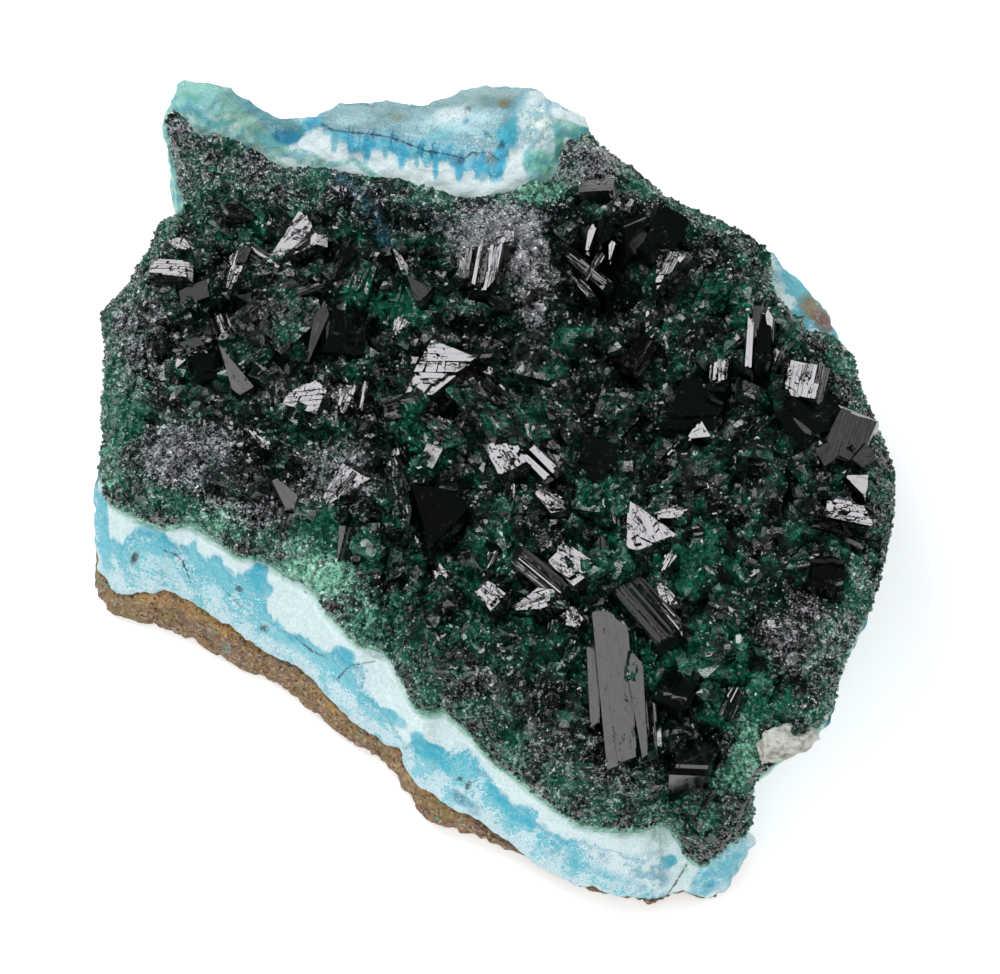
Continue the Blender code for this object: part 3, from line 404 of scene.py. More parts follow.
# Width of the white layer under the crust, in pixels of the photograph, along the front wall and
# along the bank behind the crust.
FRONT_WHITE = [
    (100, 4), (108, 10), (114, 34), (130, 36), (138, 6), (165, 6), (178, 20), (193, 26),
    (200, 9), (211, 20), (225, 9), (240, 27), (250, 8), (262, 4), (270, 22), (285, 52),
    (300, 58), (315, 54), (330, 46), (345, 24), (360, 13), (372, 13), (385, 42), (400, 52),
    (415, 46), (425, 26), (440, 28), (455, 32), (470, 28), (480, 15), (495, 13), (510, 26),
    (525, 26), (535, 10), (550, 20), (565, 24), (580, 12), (600, 18), (620, 24), (640, 20),
    (660, 34), (680, 30), (700, 16), (760, 14),
]
BANK_WHITE = [
    (170, 3), (262, 4), (272, 14), (290, 26), (312, 40), (330, 30), (345, 22), (365, 20),
    (378, 26), (392, 19), (405, 26), (420, 20), (436, 30), (450, 21), (463, 28), (474, 20),
    (486, 26), (498, 16), (512, 16), (524, 40), (600, 40),
]

# Millimetres of white for each listed pixel, on the front wall and on the bank, and the pixels
# that the bank has more.
FRONT_WHITE_SCALE = 0.095
BANK_WHITE_SCALE = 0.075
BANK_WHITE_MORE = 13
# The bank: how far back it begins, as the y of its start and its full share, and its right end.
BANK_BEGINS = (15.5, 17.5)
BANK_RIGHT_PIXEL = 640
# A distance for places that no crack is near.
FAR_AWAY = 99.0

# Strokes of colour on the blue band: pixel of the middle, half its length and width in pixels,
# turn, colour and strength.
Stroke = namedtuple("Stroke", "px py long wide turn colour strength")
BAND_STROKES = [Stroke(*row) for row in [
    # The front wall.
    (105, 532, 44, 6, 90, SKY_BLUE, 1.0),
    (150, 530, 14, 7, -4, CLEAR_BLUE, 0.8),
    (168, 540, 10, 6, -30, CLEAR_BLUE, 0.7),
    (143, 548, 6, 9, 80, SKY_BLUE, 0.8),
    (160, 564, 22, 9, -10, PALE_BLUE, 0.7),
    (176, 578, 12, 6, -40, PALE_BLUE, 0.6),
    (262, 572, 12, 9, 80, CLEAR_BLUE, 1.0),
    (268, 590, 9, 7, 60, SKY_BLUE, 0.9),
    (254, 586, 6, 8, 90, CLEAR_BLUE, 0.8),
    (228, 572, 10, 7, -30, SKY_BLUE, 0.8),
    (213, 592, 12, 8, -30, PALE_BLUE, 0.8),
    (305, 648, 40, 8, -28, SKY_BLUE, 1.0),
    (345, 653, 14, 9, -25, CLEAR_BLUE, 0.9),
    (386, 712, 12, 7, -10, SKY_BLUE, 1.0),
    (396, 718, 16, 7, -25, SKY_BLUE, 0.8),
    (420, 738, 12, 8, -60, CLEAR_BLUE, 0.9),
    (434, 748, 14, 8, -15, CLEAR_BLUE, 1.0),
    (446, 762, 8, 5, -50, CLEAR_BLUE, 0.8),
    (466, 800, 20, 6, -38, DEEP_BLUE, 0.7),
    (520, 812, 20, 7, -30, CLEAR_BLUE, 0.7),
    (498, 790, 18, 7, -38, CLEAR_BLUE, 0.7),
    (600, 867, 40, 6, -16, CLEAR_BLUE, 0.7),
    (628, 862, 34, 12, -20, WHITE, 0.9),
    (600, 848, 30, 6, -20, WHITE, 0.6),
    (652, 866, 14, 22, 20, WHITE, 0.9),
    (668, 857, 9, 7, 30, CLEAR_BLUE, 0.9),
    (700, 878, 10, 24, -25, PALE_BLUE, 1.0),
    (135, 558, 6, 3, 65, DARK_SPOT, 1.0),
    (240, 588, 3, 5, 60, DARK_SPOT, 0.7),
    (264, 628, 4, 3, 0, DARK_SPOT, 0.9),
    (469, 782, 5, 2, 50, DARK_SPOT, 1.0),
    (460, 776, 3, 2, 0, DARK_SPOT, 0.8),
    # The slab at the front corner.
    (728, 846, 26, 8, 28, PALE_BLUE, 0.9),
    (722, 866, 30, 9, 30, SKY_BLUE, 0.9),
    (710, 884, 26, 6, 22, CLEAR_BLUE, 0.7),
    # The patch on the right.
    (775, 281, 13, 12, 60, WHITE, 1.0),
    (806, 290, 34, 12, -52, SKY_BLUE, 1.0),
    (800, 320, 16, 8, -52, CLEAR_BLUE, 0.9),
    (811, 306, 12, 9, -50, OLIVE, 1.0),
    (824, 322, 13, 8, -65, RUST, 1.0),
    # The horn at the top left, with painted shade in the notch between it and the bank.
    (202, 98, 34, 22, -20, srgb(150, 206, 194), 1.0),
    (184, 112, 14, 9, -50, srgb(160, 214, 198), 1.0),
    (206, 103, 24, 12, -15, TEAL, 0.9),
    (190, 95, 9, 4, -20, srgb(110, 182, 150), 0.7),
    (248, 124, 30, 9, -42, srgb(168, 200, 184), 1.0),
    (262, 134, 12, 7, -45, srgb(124, 178, 150), 0.9),
    (234, 104, 12, 10, -30, srgb(128, 186, 172), 0.8),
    (266, 112, 34, 8, -26, srgb(112, 168, 178), 1.0),
    # Deeper and darker blues in the notch: blue colour deepened as painted shade of the recess.
    (290, 126, 16, 6, -22, srgb(92, 150, 150), 0.9),
    (284, 135, 13, 7, -8, DEEP_BLUE, 1.0),
    (286, 135, 12, 6, -6, srgb(10, 112, 150), 1.0),
    (244, 134, 14, 6, -30, MINT, 1.0),
    (230, 146, 44, 10, -28, MINT, 1.0),
    (264, 152, 20, 8, -40, srgb(196, 222, 212), 1.0),
    (304, 154, 17, 8, -14, srgb(200, 228, 216), 0.9),
    # The bank behind the crust: weathered top, mint block at its right, stains, and a painted grey
    # shadow on its top.
    (333, 139, 14, 5, 86, SKY_BLUE, 0.82),
    (350, 142, 11, 5, 92, VIVID_BLUE, 0.88),
    (366, 147, 14, 5, 88, VIVID_BLUE, 0.88),
    (384, 147, 12, 4, 94, SKY_BLUE, 0.82),
    (401, 155, 14, 5, 88, VIVID_BLUE, 0.88),
    (416, 156, 11, 4, 92, SKY_BLUE, 0.82),
    (435, 164, 15, 4, 90, VIVID_BLUE, 0.88),
    (459, 168, 13, 5, 88, VIVID_BLUE, 0.88),
    (482, 168, 15, 7, 94, VIVID_BLUE, 0.75),
    (500, 160, 16, 7, 84, VIVID_BLUE, 0.75),
    (365, 113, 44, 12, 6, DULL_BLUE, 1.0),
    (350, 118, 20, 4, 5, PALE_BLUE, 0.8),
    (455, 102, 40, 10, 8, DULL_BLUE, 1.0),
    (500, 96, 30, 8, -4, srgb(160, 186, 184), 1.0),
    (455, 122, 40, 10, 5, PALE_BLUE, 0.8),
    (510, 128, 16, 9, 35, CLEAR_BLUE, 0.8),
    (452, 112, 16, 7, 10, WHITE, 0.8),
    (479, 140, 5, 3, 0, WHITE, 0.7),
    (440, 134, 14, 7, 10, SKY_BLUE, 0.6),
    (522, 104, 14, 9, 50, SKY_BLUE, 0.9),
    (540, 100, 14, 10, -20, WHITE, 1.0),
    (527, 140, 7, 34, 8, WHITE, 0.9),
    (542, 128, 15, 20, 0, srgb(236, 248, 240), 1.0),
    (540, 160, 17, 12, 0, srgb(150, 216, 192), 1.0),
    (540, 176, 16, 4, 8, srgb(186, 224, 206), 0.9),
    (577, 129, 20, 9, -18, srgb(124, 182, 160), 1.0),
    (560, 142, 5, 20, 0, srgb(112, 180, 152), 0.9),
    (560, 122, 12, 6, -10, srgb(190, 224, 212), 0.7),
    # A painted grey shadow beside the olive stain.
    (496, 100, 18, 6, -8, srgb(112, 142, 146), 0.8),
    (503, 101, 5, 3, -10, OLIVE, 1.0),
    (457, 157, 8, 5, -20, srgb(116, 118, 122), 0.5),
    (461, 160, 3, 3, 0, srgb(96, 88, 84), 0.8),
    (491, 157, 5, 6, 30, srgb(122, 130, 134), 0.55),
    (501, 143, 4, 3, 40, DARK_SPOT, 0.8),
    (487, 132, 5, 2, -20, DEEP_BLUE, 0.8),
    (466, 119, 3, 3, 0, DEEP_BLUE, 0.7),
    (468, 106, 3, 2, 0, DARK_SPOT, 0.8),
    (396, 115, 5, 3, 0, OLIVE, 0.7),
]]

# Where the band and the skin under it draw back below the crust: a zone, as the viewer sees it,
# and the way in millimetres rightwards and upwards.
DRAWN_BACK = [
    ((758, 806, 26, 30, 1.0), (-1.0, 0.0)), ((752, 868, 28, 26, 1.0), (-0.5, 0.4)),
    ((90, 385, 34, 92, 1.0), (0.55, 0.0)), ((900, 560, 34, 130, 1.0), (-0.4, 0.0)),
    ((806, 776, 44, 26, 1.0), (-0.3, 0.35)),
]

# Broken rock: the longest edge it is split to, the rounds of splitting, and the size and height of
# its bumps; then how far a bump may stand out.
BROKEN = {
    "chrysocolla_band": (0.36, 4, [(2.6, 0.20), (1.0, 0.14), (0.5, 0.10)]),
    "limonite_base": (0.34, 4, [(2.0, 0.24), (0.9, 0.22), (0.45, 0.16)]),
    "quartz_chip": (0.2, 5, [(1.1, 0.30), (0.5, 0.14), (0.25, 0.06)]),
}
FARTHEST_OUT = 0.15
# The bed's height under the rim is taken this share of the way out.
JUST_INSIDE = 0.998

# Growth lines and seams of colour on the blue band: width in pixels, colour, strength, pixels.
Seam = namedtuple("Seam", "wide colour strength run")
BAND_SEAMS = [Seam(*row) for row in [
    (20, DARK_GREEN, 1.0, [
        (902, 440), (899, 500), (892, 560), (878, 612), (860, 660), (845, 700), (836, 716),
    ]),
    (10, MINT, 1.0, [(166, 112), (168, 150), (172, 190), (178, 214)]),
    (8, MINT, 1.0, [(178, 216), (160, 232), (148, 246)]),
    (16, DARK_GREEN, 1.0, [(134, 264), (112, 288), (100, 330), (97, 400), (94, 440), (94, 470)]),
    (12, DARK_GREEN, 1.0, [(836, 716), (822, 742), (796, 760), (772, 776)]),
    (3, srgb(206, 236, 222), 0.9, [
        (186, 112), (194, 124), (208, 131), (224, 129), (238, 121), (250, 130),
    ]),
    (2, srgb(110, 176, 158), 0.9, [(190, 106), (199, 118), (211, 124), (226, 121), (238, 114)]),
    (2, srgb(200, 232, 222), 0.8, [(196, 104), (204, 113), (214, 117), (228, 113)]),
    (6, srgb(146, 196, 176), 1.0, [(240, 116), (256, 130), (270, 144), (284, 150)]),
    (3, MINT, 0.9, [(744, 826), (722, 840), (700, 856)]),
    (5, srgb(186, 224, 208), 0.9, [
        (298, 158), (330, 162), (352, 158), (380, 178), (420, 192), (470, 202),
    ]),
    (4, SEA_GREEN, 0.9, [(478, 200), (490, 196), (500, 192), (508, 198), (524, 192), (545, 184)]),
]]

# Cracks and dark branching lines on the blue band, as runs of pixels.
BAND_CRACKS = [
    [(322, 122), (332, 128), (349, 130), (373, 132), (390, 135), (404, 140), (426, 149),
     (441, 151), (455, 154), (464, 157), (470, 152)],
    [(478, 151), (488, 150), (496, 156)],
    [(170, 552), (178, 555), (184, 562), (190, 578)], [(341, 675), (347, 668), (352, 664), (372, 660)],
    [(686, 838), (688, 850), (684, 862), (676, 876), (668, 888), (662, 896)],
    [(232, 596), (236, 600), (240, 604)], [(300, 640), (312, 650), (322, 654)],
]


def view_ray(px, py):
    """The point at height zero under a pixel of the photograph."""
    across = (px - VIEW_CENTRE_PIXEL[0]) * MM_PER_PIXEL
    up = (VIEW_CENTRE_PIXEL[1] - py) * MM_PER_PIXEL
    y = (up + VIEW_MIDDLE.z * VIEW_UP.z) / VIEW_UP.y
    return Vector((VIEW_MIDDLE.x + across, VIEW_MIDDLE.y + y, 0))


def pixels(points):
    """The pixels of the photograph at which points are seen."""
    away = np.asarray(points) - np.array(VIEW_MIDDLE)
    up = away @ np.array(VIEW_UP)
    across = VIEW_CENTRE_PIXEL[0] + away[:, 0] / MM_PER_PIXEL
    return np.stack([across, VIEW_CENTRE_PIXEL[1] - up / MM_PER_PIXEL], 1)


def closed_curve(points, spacing):
    """A smooth closed curve through the points, sampled about every spacing."""
    ring = np.array(points, float)
    before, after = np.roll(ring, 1, 0), np.roll(ring, -1, 0)
    after_next = np.roll(ring, -2, 0)
    samples = []
    for a, b, c, d in zip(before, ring, after, after_next):
        steps = max(1, round(float(np.linalg.norm(c - b)) / spacing))
        for t in np.arange(steps) / steps:
            cubic = 2 * b + (c - a) * t + (2 * a - 5 * b + 4 * c - d) * t**2
            samples.append((cubic + (3 * b - a - 3 * c + d) * t**3) / 2)
    return np.array(samples)


def inside(points, loop):
    """Whether each point lies inside the closed loop."""
    crossings = np.zeros(len(points), int)
    for (ax, ay), (bx, by) in zip(loop, np.roll(loop, -1, 0)):
        spans = (ay > points[:, 1]) != (by > points[:, 1])
        rise = by - ay if abs(by - ay) > 1e-12 else 1e-12
        crossings += spans & (points[:, 0] < ax + (bx - ax) * (points[:, 1] - ay) / rise)
    return crossings % 2 == 1


def edge_distance(points, loop, closed=True):
    """Distance in plan from each point to the loop or line."""
    nearest = np.full(len(points), np.inf)
    ends = np.roll(loop, -1, 0) if closed else loop[1:]
    for a, b in zip(loop, ends):
        share = np.clip((points - a) @ (b - a) / max((b - a) @ (b - a), 1e-9), 0, 1)
        away = points - (a + share[:, None] * (b - a))
        nearest = np.minimum(nearest, np.hypot(away[:, 0], away[:, 1]))
    return nearest


def lump(x, y, size, layer=0.0):
    """Smooth noise over the plan, from about -1 to 1, the same as in the solids."""
    x, y = x - VIEW_MIDDLE.x, y - VIEW_MIDDLE.y
    return noise.noise(Vector((x / size, y / size, layer))) * 1.6


def cloud(points, size, layer=0.0):
    """Smooth noise in space at each point, from about -1 to 1."""
    shift = Vector((layer, 2 * layer, -layer))
    return np.array([noise.noise(Vector(p) / size + shift) for p in points]) * 1.6


def tree_of(points):
    """A tree that finds the nearest of the points."""
    tree = KDTree(len(points))
    for i, point in enumerate(points):
        tree.insert(point, i)
    tree.balance()
    return tree


def smooth_step(values, low, high):
    """Rises smoothly from 0 at low to 1 at high."""
    share = np.clip((np.asarray(values) - low) / (high - low), 0, 1)
    return share * share * (3 - 2 * share)


def solid(node):
    """A node's solid as one closed mesh in millimetres."""
    bm = bmesh.new()
    bm.from_mesh(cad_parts[node].data)
    bmesh.ops.remove_doubles(bm, verts=bm.verts, dist=1e-6)
    bmesh.ops.scale(bm, vec=(1 / MM,) * 3, verts=bm.verts)
    bm.normal_update()
    return bm


def crust_rim():
    """The crust's outline, with small lumps that only lead inwards."""
    line = closed_curve(CRUST_POINTS, LUMP_SPACING) + np.array(VIEW_MIDDLE.to_2d())
    ahead = np.roll(line, -1, 0) - np.roll(line, 1, 0)
    inward = np.column_stack([-ahead[:, 1], ahead[:, 0]]) / np.hypot(*ahead.T)[:, None]
    depth = [RIM_LUMP * (0.5 + 0.5 * lump(x, y, 1.7, 9.0)) for x, y in line]
    depth = np.clip(depth, 0, 1) * smooth_step(-line[:, 0], -2.0, 6.0)
    return line + inward * depth[:, None]


RIM = crust_rim()
BAND_SURFACE = BVHTree.FromBMesh(solid("chrysocolla_band"))
SKIN_SURFACE = BVHTree.FromBMesh(solid("limonite_base"))


def bed_height(x, y):
    """Height of the blue band's top at a spot in plan."""
    hit = BAND_SURFACE.ray_cast(Vector((x, y, 60)), Vector((0, 0, -1)))[0]
    return hit.z if hit else 0.0


def bed_heights(spots, rim):
    """Heights of the band's top; close to the rim the highest one around counts."""
    beds = np.array([bed_height(x, y) for x, y in spots])
    for i in np.nonzero(rim < RIM_CLOSE)[0]:
        x, y = spots[i]
        around = [(x + a * RIM_AROUND, y + b * RIM_AROUND) for a, b in FOUR_WAYS]
        beds[i] = max(beds[i], *(bed_height(*place) for place in around))
    return beds


def crust_heights(spots):
    """Height of the crust between its crystals, at spots in plan."""
    spots = np.asarray(spots, float)
    rim = edge_distance(spots, RIM)
    share = np.minimum(1.0, rim / CRUST_ROUND)
    body = CRUST_EDGE + CRUST_BODY * share * (2 - share)
    lumps = [sum(depth * lump(x, y, size) for size, depth in LUMPS) for x, y in spots]
    return bed_heights(spots, rim) + body + np.array(lumps) * (0.3 + 0.7 * share)


def on_crust(px, py):
    """Where the sight line of a pixel, followed downwards, first meets the crust."""
    line = np.array(view_ray(px, py)) + np.outer(SIGHT_LEVELS / TOWARDS_VIEWER.z, TOWARDS_VIEWER)
    line = line[inside(line[:, :2], RIM)]
    return Vector(line[np.argmax(crust_heights(line[:, :2]) > line[:, 2])])


def zone(seen, zones):
    """How strongly each seen pixel lies in a list of zones, from 0 to 1."""
    share = np.zeros(len(seen))
    for px, py, across, down, strength in zones:
        reach = np.hypot((seen[:, 0] - px) / across, (seen[:, 1] - py) / down)
        share = np.maximum(share, strength * smooth_step(-reach, -1.3, -0.5))
    return share


def crust_marks(points):
    """What the crust's finishes read at each point: emerald, frosted, pale and blue shares, and painted
    shade in the hollows.
    """
    seen = pixels(points)
    points = np.asarray(points)
    rim = edge_distance(points[:, :2], RIM)
    bed = bed_heights(points[:, :2], rim)
    low = smooth_step(-(points[:, 2] - bed), -1.1, -0.1) * smooth_step(-rim, -1.2, -0.3)
    edge = smooth_step(-rim, -3.5, -0.5)
    # In the hollows the emerald share turns negative and frost and pale are held back, which paints
    # shade into the crust's colour.
    lit = 1 - zone(seen, SHADED_HOLLOWS)
    beside = edge_distance(seen, np.array(BLUE_STREAK, float), False)
    return {
        "emerald": np.maximum(zone(seen, EMERALD_ZONES), 0.45 * edge) * lit - (1 - lit),
        "frost": np.maximum(zone(seen, FROST_ZONES), 0.35 * edge) * lit,
        "pale": np.maximum(zone(seen, PALE_ZONES), low) * lit,
        "blue": smooth_step(-beside, -9, -2),
    }


def set_marks(mesh, marks):
    """Stores values on a mesh's vertices."""
    for name, values in marks.items():
        values = np.asarray(values, np.float32)
        if values.ndim == 1:
            kind, field = "FLOAT", "value"
        elif values.shape[1] == 3:
            kind, field = "FLOAT_VECTOR", "vector"
        else:
            kind, field = "FLOAT_COLOR", "color"
        if name in mesh.attributes:
            mesh.attributes.remove(mesh.attributes[name])
        mark = mesh.attributes.new(name, kind, "POINT")
        mark.data.foreach_set(field, values.ravel())


def into_scene(name, data):
    """A new object in the scene."""
    made = bpy.data.objects.new(name, data)
    bpy.context.scene.collection.objects.link(made)
    return made


def add_piece(name, mesh, material, node, slot, smooth=False):
    """Turns a mesh into a piece that stands for a node of the solids."""
    mesh.name = name
    low, high = (np.array(corner) / MM for corner in cad_box)
    corners = np.clip(corners_of(mesh), low, high)
    mesh.vertices.foreach_set("co", (corners * MM).astype(np.float32).ravel())
    mesh.materials.clear()
    mesh.materials.append(material)
    mesh.polygons.foreach_set("use_smooth", [smooth] * len(mesh.polygons))
    mesh.polygons.foreach_set("material_index", [0] * len(mesh.polygons))
    mesh.update()
    piece = into_scene(name, mesh)
    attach(piece, BODY)
    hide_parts(node)


def mesh_of(corners, faces):
    """A mesh in metres from corners in millimetres."""
    mesh = bpy.data.meshes.new("mesh")
    mesh.from_pydata((np.asarray(corners) * MM).tolist(), [], faces)
    mesh.validate()
    return mesh


def facet_relief(spots, spacing, tilt, step, seed):
    """Heights of a ground broken into tilted facets about the spacing apart."""
    random = np.random.default_rng(seed)
    low, high = spots.min(0), spots.max(0)
    count = int(np.prod(high - low) / spacing**2)
    middles = random.uniform(low, high, (count, 2))
    slopes = random.normal(0, tilt, (count, 2))
    steps = random.uniform(-step, step, count)
    tree = tree_of([(x, y, 0) for x, y in middles])
    nearest = np.array([tree.find((x, y, 0))[1] for x, y in spots])
    return ((spots - middles[nearest]) * slopes[nearest]).sum(1) + steps[nearest]


def ground_mesh():
    """The crust's ground: fine facets over its top, a rough edge, and a closed underside."""
    random = np.random.default_rng(GROUND_SEED)
    loop = closed_curve(RIM, RIM_SPACING)
    low, high = loop.min(0), loop.max(0)
    rows = np.arange(low[1], high[1], GROUND_SPACING * ROW_SHARE)
    columns = np.arange(low[0], high[0], GROUND_SPACING)
    shift = (np.arange(len(rows)) % 2) * GROUND_SPACING / 2
    x = columns[None, :] + shift[:, None]
    y = np.repeat(rows[:, None], len(columns), 1)
    spots = np.stack([x.ravel(), y.ravel()], 1)
    spots += random.uniform(-STRAY, STRAY, spots.shape) * GROUND_SPACING
    spots = spots[inside(spots, RIM)]
    spots = spots[edge_distance(spots, RIM) > 0.6 * GROUND_SPACING]
    corners = [Vector(p) for p in loop] + [Vector(p) for p in spots]
    made = delaunay_2d_cdt(corners, [], [list(range(len(loop)))], 1, 1e-7)
    plan = np.array([tuple(p) for p in made[0]])
    faces = [tuple(face) for face in made[2]]
    heights = crust_heights(plan)
    rim = edge_distance(plan, RIM)
    for spacing, tilt, step, seed in GROUND_FACETS:
        calm = 0.35 + 0.65 * smooth_step(rim, 0.5, 4.0)
        heights += facet_relief(plan, spacing, tilt, step, seed) * calm
    top = np.column_stack([plan, heights])
    top[:, 2] -= HOLLOW_DEPTH * zone(pixels(top), SHADED_HOLLOWS) * smooth_step(rim, 1.0, 3.0)
    edge = top[:len(loop)].copy()
    beds = bed_heights(edge[:, :2], rim[:len(loop)])
    wall = []
    inward = edge[:, :2] / np.hypot(edge[:, 0], edge[:, 1])[:, None]
    for share, inset in EDGE_ROWS:
        row = edge.copy()
        row[:, 2] = edge[:, 2] + (beds - EDGE_SINK - edge[:, 2]) * share
        rough = random.uniform(-EDGE_ROUGH, EDGE_ROUGH, len(row)) if share < 1 else 0
        row[:, :2] -= inward * (inset + rough)[:, None] if share < 1 else inward * inset
        wall.append(row)
    corners = [top] + wall
    count = len(loop)
    starts = [0, len(top), len(top) + count, len(top) + 2 * count]
    for above, below in zip(starts, starts[1:]):
        for i in range(count):
            after = (i + 1) % count
            faces.append((above + i, below + i, below + after, above + after))
    last, hub = starts[-1], starts[-1] + count
    corners.append([[*loop.mean(0), beds.mean() - 1.0]])
    for i in range(count):
        faces.append((hub, last + (i + 1) % count, last + i))
    return np.concatenate(corners), faces


def face_axes(lean, turn):
    """A leaning face's normal, its long axis, which the view shows at that turn, and the other."""
    normal = Vector((lean[0], lean[1], 1)).normalized()
    seen = Vector((1, 0, 0)) * math.cos(turn) + VIEW_UP * math.sin(turn)
    slide = seen.dot(normal) / TOWARDS_VIEWER.dot(normal)
    long_axis = (seen - TOWARDS_VIEWER * slide).normalized()
    return normal, long_axis, normal.cross(long_axis)


def clip(outline, a, b, limit):
    """The part of a convex outline where a*u + b*v is at most the limit."""
    kept = []
    for (u0, v0), (u1, v1) in zip(outline, outline[1:] + outline[:1]):
        over0, over1 = a * u0 + b * v0 - limit, a * u1 + b * v1 - limit
        if over0 <= 0:
            kept.append((u0, v0))
        if over0 * over1 < 0:
            share = over0 / (over0 - over1)
            kept.append((u0 + share * (u1 - u0), v0 + share * (v1 - v0)))
    return kept


def cut_places(low, high, count, random):
    """Places that cut a span into so many uneven lengths, with its two ends."""
    steps = (np.arange(1, count) + random.uniform(-0.35, 0.35, count - 1)) / count
    return [low - 1, *(low + (high - low) * steps), high + 1]


def face_slabs(outline, cut, random):
    """The outline split into slabs along it with uneven ends, and each slab into lengths."""
    across = [v for _, v in outline]
    along = [u for u, _ in outline]
    length = max(along) - min(along)
    slant = random.normal(0, 0.04)
    skew = random.choice((-1, 1)) * cut.breaks * 0.16
    sides = cut_places(min(across), max(across), cut.slabs, random)
    for floor, ceiling in zip(sides, sides[1:]):
        slab = clip(clip(outline, slant, -1, -floor), -slant, 1, ceiling)
        if len(slab) < 3:
            continue
        lean = skew + random.normal(0, 0.3)
        start = min(u for u, _ in slab) + random.uniform(0, cut.ends) * length
        end = max(u for u, _ in slab) - random.uniform(0, cut.ends) * length
        slab = clip(clip(slab, -1, lean, -start), 1, lean, end)
        if len(slab) < 3:
            continue
        breaks = cut_places(start, end, 1 + random.integers(cut.breaks + 1), random)
        for before, after in zip(breaks, breaks[1:]):
            cell = clip(clip(slab, -1, lean, -before), 1, -lean - random.normal(0, 0.2), after)
            if len(cell) >= 3:
                yield cell


class Pile:
    """Crystals gathered into one mesh, with what their finish reads."""

    def __init__(self):
        self.corners, self.faces, self.facet, self.tone, self.etched = [], [], [], [], []

    def add(self, corners, faces, facet, tone, etched):
        """Adds a closed shell."""
        start = len(self.corners)
        self.corners += [tuple(c) for c in corners]
        self.faces += [tuple(start + i for i in face) for face in faces]
        self.facet += [tuple(f) for f in facet]
        self.tone += [tone] * len(corners)
        self.etched += [etched] * len(corners)

    def add_hull(self, corners, facet_of, tone, etched):
        """Adds the convex hull of the corners."""
        bm = bmesh.new()
        for corner in corners:
            bm.verts.new(corner)
        hull = bmesh.ops.convex_hull(bm, input=bm.verts)
        loose = {item for item in hull["geom_interior"] if isinstance(item, bmesh.types.BMVert)}
        bmesh.ops.delete(bm, geom=list(loose), context="VERTS")
        bmesh.ops.recalc_face_normals(bm, faces=bm.faces)
        bm.verts.index_update()
        places = [vertex.co.copy() for vertex in bm.verts]
        faces = [tuple(vertex.index for vertex in face.verts) for face in bm.faces]
        bm.free()
        self.add(places, faces, [facet_of(p) for p in places], tone, etched)

    def mesh(self):
        """The gathered mesh with its marks."""
        corners = np.array(self.corners)
        made = mesh_of(corners, self.faces)
        marks = {"facet": self.facet, "tone": self.tone, "etched": self.etched}
        marks.update(crust_marks(corners))
        set_marks(made, marks)
        return made


def grow_crystal(pile, middle, axes, length, width, shape, shouldered, cut, random):
    """Adds a crystal: a body with a shoulder and roots, and its broken main face on top."""
    normal, long_axis, cross = axes
    tone = random.uniform(0, 1)
    own = Vector(random.uniform(0, 90, 3))
    shape = [(u + random.normal(0, UNEVEN), v + random.normal(0, UNEVEN)) for u, v in shape]

    def facet_of(place):
        away = place - middle
        return own + Vector((away.dot(long_axis), away.dot(cross), away.dot(normal)))

    rings = [(BODY_SINK + cut.step, 1.0 - 0.6 * cut.ends)]
    if shouldered:
        rings.append((BODY_SINK + cut.step + SHOULDER * width, 1.0 + FLARE))
    corners, tops = [], []
    for sink, growth in rings:
        for along, across in shape:
            place = middle + long_axis * (along * length * growth) - normal * sink
            tops.append(place + cross * (across * width * min(growth, 1.0 + FLARE)))
    heights = crust_heights([(place.x, place.y) for place in tops])
    heights = np.maximum(heights, middle.z - DEEPEST)
    for place, height in zip(tops, heights):
        bed = min(height - 0.2, height - ROOT + 0.1)
        root = max(min(place.z, height) - ROOT, height - CRUST_EDGE)
        corners += [Vector((place.x, place.y, max(place.z, bed)))]
        corners += [Vector((place.x, place.y, min(root, place.z)))]
    pile.add_hull(corners, facet_of, tone, cut.etched)
    outline = [(along * length, across * width) for along, across in shape]
    depth = min(SLAB_DEPTH, 0.5 * width + 0.2)
    for cell in face_slabs(outline, cut, random):
        tilt = random.normal(0, cut.tilt, 2)
        lift = random.uniform(-1, 1) * cut.step
        middle_u = sum(u for u, _ in cell) / len(cell)
        middle_v = sum(v for _, v in cell) / len(cell)
        wide = max(math.dist((u, v), (middle_u, middle_v)) for u, v in cell)
        share = max(0.5, 1 - cut.gap / wide)
        cell = [(middle_u + (u - middle_u) * share, middle_v + (v - middle_v) * share) for u, v in cell]
        top, bottom = [], []
        for u, v in cell:
            rise = lift + (u - middle_u) * tilt[0] * 0.5 + (v - middle_v) * tilt[1]
            spot = middle + long_axis * u + cross * v
            top.append(spot + normal * rise)
            bottom.append(spot - normal * depth)
        count = len(cell)
        faces = [tuple(range(count)), tuple(reversed(range(count, 2 * count)))]
        faces += [(i, count + i, count + (i + 1) % count, (i + 1) % count) for i in range(count)]
        shell = top + bottom
        pile.add(shell, faces, [facet_of(p) for p in shell], tone, cut.etched)


